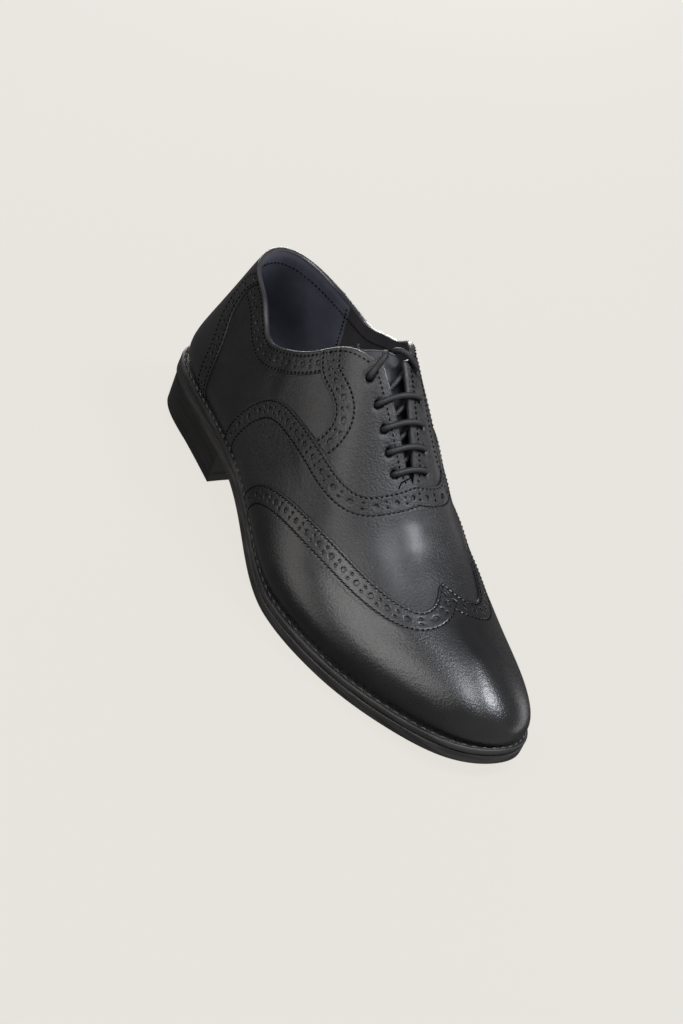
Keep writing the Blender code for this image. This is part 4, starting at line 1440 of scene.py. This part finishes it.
class BROGUE_OT_outsole(bpy.types.Operator):
    """Build the outsole with its waxed edge and its channelled underside"""
    bl_idname = "brogue.outsole"
    bl_label = "Outsole"

    def execute(self, context):
        sole = context.scene.brogue_sole
        under, top = sole_underside, outsole_top
        rings = profile_rings(720, (
            (-0.0052, 1, under, 0), (-0.0048, 1, under, 0.0003), (-0.0044, 1, under, 0.0003),
            (-0.0040, 1, under, 0), (-0.0012, 1, under, 0), (-0.0005, 1, under, 0.0002),
            (-0.0001, 1, under, 0.0006), (0, 1, under, 0.0012), (0, 1, top, -0.0012),
            (-0.0001, 1, top, -0.0006), (-0.0005, 1, top, -0.0001), (-0.0010, 1, top, 0),
        ))
        bottom, upper = filled(rings[0], under), filled(rings[-1], top, steps=4)
        patches = [grid(rings + SHIFT, closed=True), grid(bottom + SHIFT), grid(upper + SHIFT)]
        waxed = waxed_edge_finish("waxed_sole", tuple(sole.welt_colour), 2.0)
        turn_out(add_piece("finished_outsole", patches, waxed, ("outsole",)))
        return {"FINISHED"}


def heel_ring(height, inset):
    """The heel's outline at a height: tapered along its sides, with a breast that slants and is hollow."""
    drop = 1 - height / HEEL_HEIGHT

    def wall(places):
        taper = HEEL_TAPER * drop * np.minimum(np.abs(places) / 2, 1) + SOLE_EDGE_ROUND + inset
        return outline(places, WELT_REACH * section(places)[..., 5] - taper)

    breast = HEEL_LENGTH - HEEL_BREAST_SLANT * drop - inset
    search = np.linspace(1, 4, 121)
    inner, outer = (np.interp(breast, wall(side * search)[:, 0], search) for side in (-1, 1))
    sides = wall(np.linspace(-inner, outer, 181))
    across = np.linspace(-1, 1, 33)[1:-1, None]
    front = sides[-1] + (sides[0] - sides[-1]) * (across + 1) / 2
    front[:, :1] -= HEEL_BREAST_HOLLOW * (1 - across ** 2)
    plan = np.concatenate([sides, front])
    return np.column_stack([plan, np.full(len(plan), height)])


class BROGUE_OT_heel(bpy.types.Operator):
    """Build the stacked heel with its layers and top piece"""
    bl_idname = "brogue.heel"
    bl_label = "Heel"

    def execute(self, context):
        sole = context.scene.brogue_sole
        top = HEEL_HEIGHT - GAP
        levels = [(0.0, 0.0006), (0.0002, 0.0002), (0.0007, 0.0)]
        for layer in np.arange(sole.lift, top - 0.002, sole.lift):
            deep = TOP_PIECE_SEAM if layer == sole.lift else LAYER_SEAM
            levels += [(layer - 0.0003, 0.0), (layer - 0.0001, deep), (layer + 0.0001, deep),
                       (layer + 0.0003, 0.0)]
        levels += [(top - 0.0003, 0.0), (top, 0.0003)]
        rings = np.array([heel_ring(height, inset) + SHIFT for height, inset in levels])
        waxed = waxed_edge_finish("waxed_heel", tuple(sole.edge_colour), 2.5)
        piece = add_piece("stacked_heel", [grid(rings, closed=True)], waxed, ("heel",))
        turn_out(piece, close=True)
        piece.data.set_sharp_from_angle(angle=math.radians(50))
        return {"FINISHED"}


class BROGUE_OT_insole(bpy.types.Operator):
    """Build the insole with its cover"""
    bl_idname = "brogue.insole"
    bl_label = "Insole"

    def execute(self, context):
        edge = -(UPPER_WALL + 2 * GAP)
        top = lambda x: feather_height(x) + INSOLE_RISE
        rings = profile_rings(240, (
            (edge, 0, outsole_top, GAP), (edge, 0, feather_height, -GAP),
            (edge - 0.0004, 0, feather_height, 0.0004), (edge - 0.0010, 0, feather_height, 0.0009),
            (edge - 0.0018, 0, top, 0),
        ))
        cover = filled(rings[-1], top)
        under = filled(rings[0], lambda x: outsole_top(x) + GAP, steps=4)
        patches = [grid(rings + SHIFT, closed=True), grid(cover + SHIFT), grid(under + SHIFT)]
        made = lining_finish("insole_cover", (0.035, 0.037, 0.048), (0.060, 0.063, 0.080))
        turn_out(add_piece("covered_insole", patches, made, ("insole",)))
        return {"FINISHED"}


TONGUE_ROUND = 0.0008


class BROGUE_OT_tongue(bpy.types.Operator):
    """Build the tongue under the facings"""
    bl_idname = "brogue.tongue"
    bl_label = "Tongue"

    def execute(self, context):
        around = np.linspace(0, 2 * math.pi, 73)[:-1]
        across = np.sign(np.cos(around)) * np.abs(np.cos(around)) ** 0.35
        thick = np.sign(np.sin(around)) * np.abs(np.sin(around)) ** 0.5
        lateral, centre, medial = TONGUE_TOP
        top = centre + (medial - lateral) / 2 * across + ((medial + lateral) / 2 - centre) * across ** 2
        share = np.linspace(0, 1, 70)[:, None]
        along = top * (1 - share) + TONGUE[-1, 0] * share
        half_width = np.interp(along, TONGUE[:, 0], column(TONGUE, TONGUE_COLUMNS, "half_width"))
        depth = np.interp(along, TONGUE[:, 0], column(TONGUE, TONGUE_COLUMNS, "depth")) * LACE_ROOM
        from_end = np.minimum(along - top, TONGUE[-1, 0] - along) * ROW_LENGTH
        round_off = np.sqrt(np.clip(1 - (1 - from_end / TONGUE_ROUND).clip(0) ** 2, 0.02, 1))
        half = TONGUE_WALL / 2 * round_off
        middle = throat(along, "middle")
        level = -(depth + TONGUE_WALL / 2) + half * thick
        points = instep(along, middle + across * half_width, level) + SHIFT
        patches = [grid(points, closed=True)]
        made = Finish("soft_calf", IOR=1.48)
        pores = made.noise(1700.0, 3.0, 0.6)
        folds = made.noise(120.0, 4.0, 0.6, warp=0.6)
        shade = made.mix(folds, (0.025, 0.025, 0.028), (0.044, 0.044, 0.049))
        normal = made.bump(pores, 0.0001, made.bump(folds, 0.0004))
        soft = made.finish(shade, 0.48 + (pores - 0.5) * 0.15, normal)
        turn_out(add_piece("soft_tongue", patches, soft, ("tongue",)), close=True)
        return {"FINISHED"}


# The lace's turn through an eyelet: distance from its axis in lace diameters, and level as a share
TURN_OUTSIDE = ((1.35, 1.00), (0.75, 1.00), (0.22, 0.72))
TURN_INSIDE = ((0.22, 0.78), (0.75, 1.00), (1.35, 1.00))

# The drawn lace: lift over the facings, station step, points to a ring, and length of a strand's turn
LACE_LIFT = 0.0004
LACE_STEP = 0.00033
LACE_SIDES = 16
STRAND_LENGTH = 0.0016


def lace_stops():
    """The lace's route as place, Y and level, from one tucked end to the other, as in the frame's solid."""
    outside = LACE_DIAMETER / 2 + LACE_CLEARANCE
    inside = -(UPPER_WALL + LACE_DIAMETER / 2 + LACE_CLEARANCE)
    place_step = LAST_LENGTH * (SECTIONS[5, 0] - SECTIONS[4, 0])

    def eyelet(row, side):
        place = EYELET_PLACES[row]
        return np.array([place, eyelet_across(place, side)])

    def turn(here, towards, table, level):
        heading = (towards - here) * (place_step, 1)
        heading = heading / np.linalg.norm(heading) / (place_step, 1)
        return [(*(here + heading * away * LACE_DIAMETER), level * share) for away, share in table]

    def into(here, origin, target):
        middle = [(*here, -UPPER_WALL / 2)]
        return turn(here, origin, TURN_OUTSIDE, outside) + middle + turn(here, target, TURN_INSIDE, inside)

    def out_of(here, origin, target):
        return into(here, target, origin)[::-1]

    top = len(EYELET_PLACES) - 1
    stops = []
    for side in (-1, 1):
        here = eyelet(top, side)
        dips = ((0.19, 1.45, inside), (0.17, 1.36, 0.0), (0.13, 1.12, 1.15 * outside))
        tuck = [(*(here + (-rise, -side * EYELET_FROM_EDGE * away)), level) for rise, away, level in dips]
        stops.append((here, np.array(tuck[-1][:2]), tuck))
    route = list(stops[0][2])
    outboard = np.array([0.0, -1.15 * LACE_DIAMETER - EYELET_FROM_EDGE * 0.1])
    run = [eyelet(row, -1) + outboard for row in range(top, -1, -1)]
    under = eyelet(0, -1) + np.array([0.16, -0.3 * LACE_DIAMETER])
    cross = [eyelet(0, 0) + np.array([0.235, 0.0]), eyelet(0, 1) + np.array([0.175, -0.2 * LACE_DIAMETER])]
    route += into(stops[0][0], stops[0][1], run[1])
    route += [(*point, inside) for point in run[1:]]
    route += [(*point, inside) for point in [under] + cross]
    previous = cross[-1]
    for row in range(top):
        right, left = eyelet(row, 1), eyelet(row, -1)
        route += out_of(right, previous, left)
        route += [(*(0.5 * (right + left)), outside)]
        following = eyelet(row + 1, 1)
        route += into(left, right, following)
        previous = left
    route += out_of(stops[1][0], previous, stops[1][1])
    route += stops[1][2][::-1]
    return np.array(route)


def tube(path, radius, sides):
    """Rings of points round a path: frames turned as little as possible from station to station."""
    along = np.gradient(path, axis=0)
    along /= np.linalg.norm(along, axis=1, keepdims=True)
    side = np.cross(along[0], (0.0, 0.0, 1.0))
    across = []
    for way in along:
        side = side - way * np.dot(side, way)
        side = side / np.linalg.norm(side)
        across.append(side)
    across = np.array(across)
    up = np.cross(along, across)
    turns = 2 * math.pi * np.arange(sides) / sides
    ring = np.cos(turns)[None, :, None] * across[:, None] + np.sin(turns)[None, :, None] * up[:, None]
    return path[:, None] + ring * radius[..., None]


class BROGUE_OT_lace(bpy.types.Operator):
    """Run the round waxed lace through the eyelets"""
    bl_idname = "brogue.lace"
    bl_label = "Lace"

    def execute(self, context):
        lace = context.scene.brogue_lace
        stops = lace_stops()
        points = instep(stops[:, 0], stops[:, 1], stops[:, 2] + LACE_LIFT * (stops[:, 2] > 0)) + SHIFT
        run = run_along(points)
        steps = np.arange(0, run[-1], LACE_STEP)
        path = spline(run, points, steps)
        around = 8 * math.pi * np.arange(LACE_SIDES)[None] / LACE_SIDES
        forward = 2 * math.pi * steps[:, None] / STRAND_LENGTH
        left, right = np.cos(around + forward), np.cos(around - forward)
        radius = lace.diameter / 2 + lace.braid * (np.maximum(left, right) - 0.4)
        from_end = np.minimum(steps, steps[-1] - steps)
        close = np.sqrt(np.clip(1 - (1 - from_end / (lace.diameter / 2)).clip(0) ** 2, 0.01, 1))
        rings = tube(path, radius * close[:, None], LACE_SIDES)
        made = Finish("waxed_cotton", IOR=1.46, Coat_Roughness=0.4)
        fibres = made.noise(2400.0, 3.0, 0.6)
        shade = made.mix(fibres, tuple(lace.colour), tuple(1.9 * c for c in lace.colour))
        waxed = made.finish(shade, 0.5 + (fibres - 0.5) * 0.3, made.bump(fibres, 0.00012), 0.15)
        piece = add_piece("threaded_lace", [grid(rings, closed=True)], waxed, ("lace",),
                          sharp=80)
        turn_out(piece, close=True)
        return {"FINISHED"}


# The photograph's view: angles in degrees, the target on the last in metres, the lens and its shifts
CAMERA_AZIMUTH, CAMERA_ELEVATION, CAMERA_ROLL = 46.8, 30.6, 25.5
CAMERA_TARGET = np.array([0.145, 0.0, 0.05])
CAMERA_DISTANCE = 1.2
CAMERA_LENS = 86.7
CAMERA_SHIFT = (-0.0215, -0.0239)

# Lamps: azimuth and elevation seen from the shoe, distance, width and height in metres, watts, colour
LAMPS = (
    ("key_softbox", 0.0, 44.0, 1.6, 0.55, 0.95, 7.0, (1.0, 0.985, 0.97)),
    ("low_strip", -22.0, 8.0, 1.5, 0.75, 0.55, 2.2, (1.0, 0.97, 0.94)),
    ("top_softbox", 148.0, 61.0, 1.5, 0.30, 0.30, 9.5, (0.90, 0.93, 1.0)),
    ("instep_softbox", 70.0, 77.0, 1.6, 0.40, 0.40, 6.0, (0.90, 0.93, 1.0)),
    ("overhead", 60.0, 85.0, 1.9, 1.6, 1.6, 5.5, (0.92, 0.94, 1.0)),
    ("heel_card", 245.0, 6.0, 1.3, 0.8, 0.30, 7.0, (1.0, 0.99, 0.97)),
    ("inner_card", 168.0, 4.0, 1.5, 1.4, 0.45, 2.4, (1.0, 0.98, 1.0)),
)

# The world's shade grows towards the toe: from and to on the x of the line of sight, then strengths
WORLD_SHADE = (0.10, 0.75, 0.08, 0.42)
FLOOR_HALF = 6.0


class BROGUE_OT_stage(bpy.types.Operator):
    """Set the floor, the soft lights and the camera at the photograph's angle"""
    bl_idname = "brogue.stage"
    bl_label = "Stage"

    def execute(self, context):
        stage = context.scene.brogue_stage
        mesh = bpy.data.meshes.new("floor")
        corners = [(x * FLOOR_HALF, y * FLOOR_HALF, 0) for x, y in ((-1, -1), (1, -1), (1, 1), (-1, 1))]
        mesh.from_pydata(corners, [], [(0, 1, 2, 3)])
        made = Finish("pale_floor", IOR=1.3)
        dust = made.noise(2.0, 2.0, 0.5)
        colour = tuple(stage.floor_colour)
        tone = made.mix(dust, colour, tuple(0.985 * c for c in colour))
        made.feed(made.shader.inputs["Emission Color"], tone)
        made.shader.inputs["Emission Strength"].default_value = stage.floor_glow
        mesh.materials.append(made.finish((0.03, 0.0294, 0.028), 0.95, None))
        floor = bpy.data.objects.new("floor", mesh)
        context.scene.collection.objects.link(floor)
        floor.visible_glossy = False
        floor.visible_diffuse = False
        centre = Vector((0.0, 0.0, 0.04))
        for name, azimuth, elevation, distance, width, height, watts, tint in LAMPS:
            a, e = math.radians(azimuth), math.radians(elevation)
            way = Vector((math.sin(a) * math.cos(e), -math.cos(a) * math.cos(e), math.sin(e)))
            data = bpy.data.lights.new(name, "AREA")
            data.shape = "RECTANGLE"
            data.size, data.size_y = width, height
            data.energy = watts * stage.light
            data.color = tint
            lamp = bpy.data.objects.new(name, data)
            lamp.location = centre + way * distance
            lamp.rotation_mode = "QUATERNION"
            lamp.rotation_quaternion = (-way).to_track_quat("-Z", "Y")
            context.scene.collection.objects.link(lamp)
        world = bpy.data.worlds.new("studio")
        world.use_nodes = True
        world.node_tree.nodes["Background"].inputs["Color"].default_value = (1.0, 0.985, 0.96, 1)
        nodes, links = world.node_tree.nodes, world.node_tree.links
        sight = nodes.new("ShaderNodeSeparateXYZ")
        shade = nodes.new("ShaderNodeMapRange")
        for socket, value in zip(("From Min", "From Max", "To Min", "To Max"), WORLD_SHADE):
            shade.inputs[socket].default_value = value
        links.new(nodes.new("ShaderNodeTexCoord").outputs["Generated"], sight.inputs["Vector"])
        links.new(sight.outputs["X"], shade.inputs["Value"])
        links.new(shade.outputs["Result"], nodes["Background"].inputs["Strength"])
        context.scene.world = world
        context.scene.view_settings.view_transform = "Standard"
        self.camera(context)
        return {"FINISHED"}

    def camera(self, context):
        """A camera on the photograph's line of sight, rolled by its roll, with its lens and shifts."""
        a, e, r = (math.radians(v) for v in (CAMERA_AZIMUTH, CAMERA_ELEVATION, CAMERA_ROLL))
        back = np.array([math.sin(a) * math.cos(e), -math.cos(a) * math.cos(e), math.sin(e)])
        level = np.array([math.cos(a), math.sin(a), 0.0])
        upright = np.cross(back, level)
        right = math.cos(r) * level + math.sin(r) * upright
        up = np.cross(back, right)
        data = bpy.data.cameras.new("photo_view")
        data.lens = CAMERA_LENS
        data.sensor_width = 36.0
        data.shift_x, data.shift_y = CAMERA_SHIFT
        data.clip_start, data.clip_end = 0.05, 50.0
        camera = bpy.data.objects.new("photo_view", data)
        turn = Matrix((right, up, back)).transposed().to_4x4()
        camera.matrix_world = Matrix.Translation(CAMERA_TARGET + SHIFT + back * CAMERA_DISTANCE) @ turn
        context.scene.collection.objects.link(camera)
        context.scene.camera = camera


class BROGUE_PT_panel(bpy.types.Panel):
    """The shoe's settings and steps in the sidebar"""
    bl_idname = "BROGUE_PT_panel"
    bl_label = "Brogue shoe"
    bl_space_type = "VIEW_3D"
    bl_region_type = "UI"
    bl_category = "Brogue"

    def draw(self, context):
        for name in SETTINGS:
            box = self.layout.box()
            group = getattr(context.scene, name)
            for key in group.bl_rna.properties.keys():
                if key not in ("rna_type", "name"):
                    box.prop(group, key)
        for operator in OPERATORS:
            self.layout.operator(operator.bl_idname)


SETTINGS = {"brogue_leather": BrogueLeather, "brogue_sole": BrogueSole, "brogue_lace": BrogueLace,
            "brogue_stage": BrogueStage}
OPERATORS = (
    BROGUE_OT_quarters, BROGUE_OT_lining, BROGUE_OT_collar, BROGUE_OT_counter, BROGUE_OT_facings,
    BROGUE_OT_vamp, BROGUE_OT_wing_cap, BROGUE_OT_welt, BROGUE_OT_outsole, BROGUE_OT_heel,
    BROGUE_OT_insole, BROGUE_OT_tongue, BROGUE_OT_lace, BROGUE_OT_stage,
)


def register():
    """Register the classes and hang the settings on the scene."""
    for kind in (*SETTINGS.values(), *OPERATORS, BROGUE_PT_panel):
        bpy.utils.register_class(kind)
    for name, kind in SETTINGS.items():
        setattr(bpy.types.Scene, name, PointerProperty(type=kind))


def unregister():
    """Undo register."""
    for name in SETTINGS:
        delattr(bpy.types.Scene, name)
    for kind in (BROGUE_PT_panel, *OPERATORS[::-1], *SETTINGS.values()):
        bpy.utils.unregister_class(kind)


def main():
    """Register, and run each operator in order."""
    register()
    for operator in OPERATORS:
        group, name = operator.bl_idname.split(".")
        getattr(getattr(bpy.ops, group), name)()


if __name__ == "__main__":
    main()
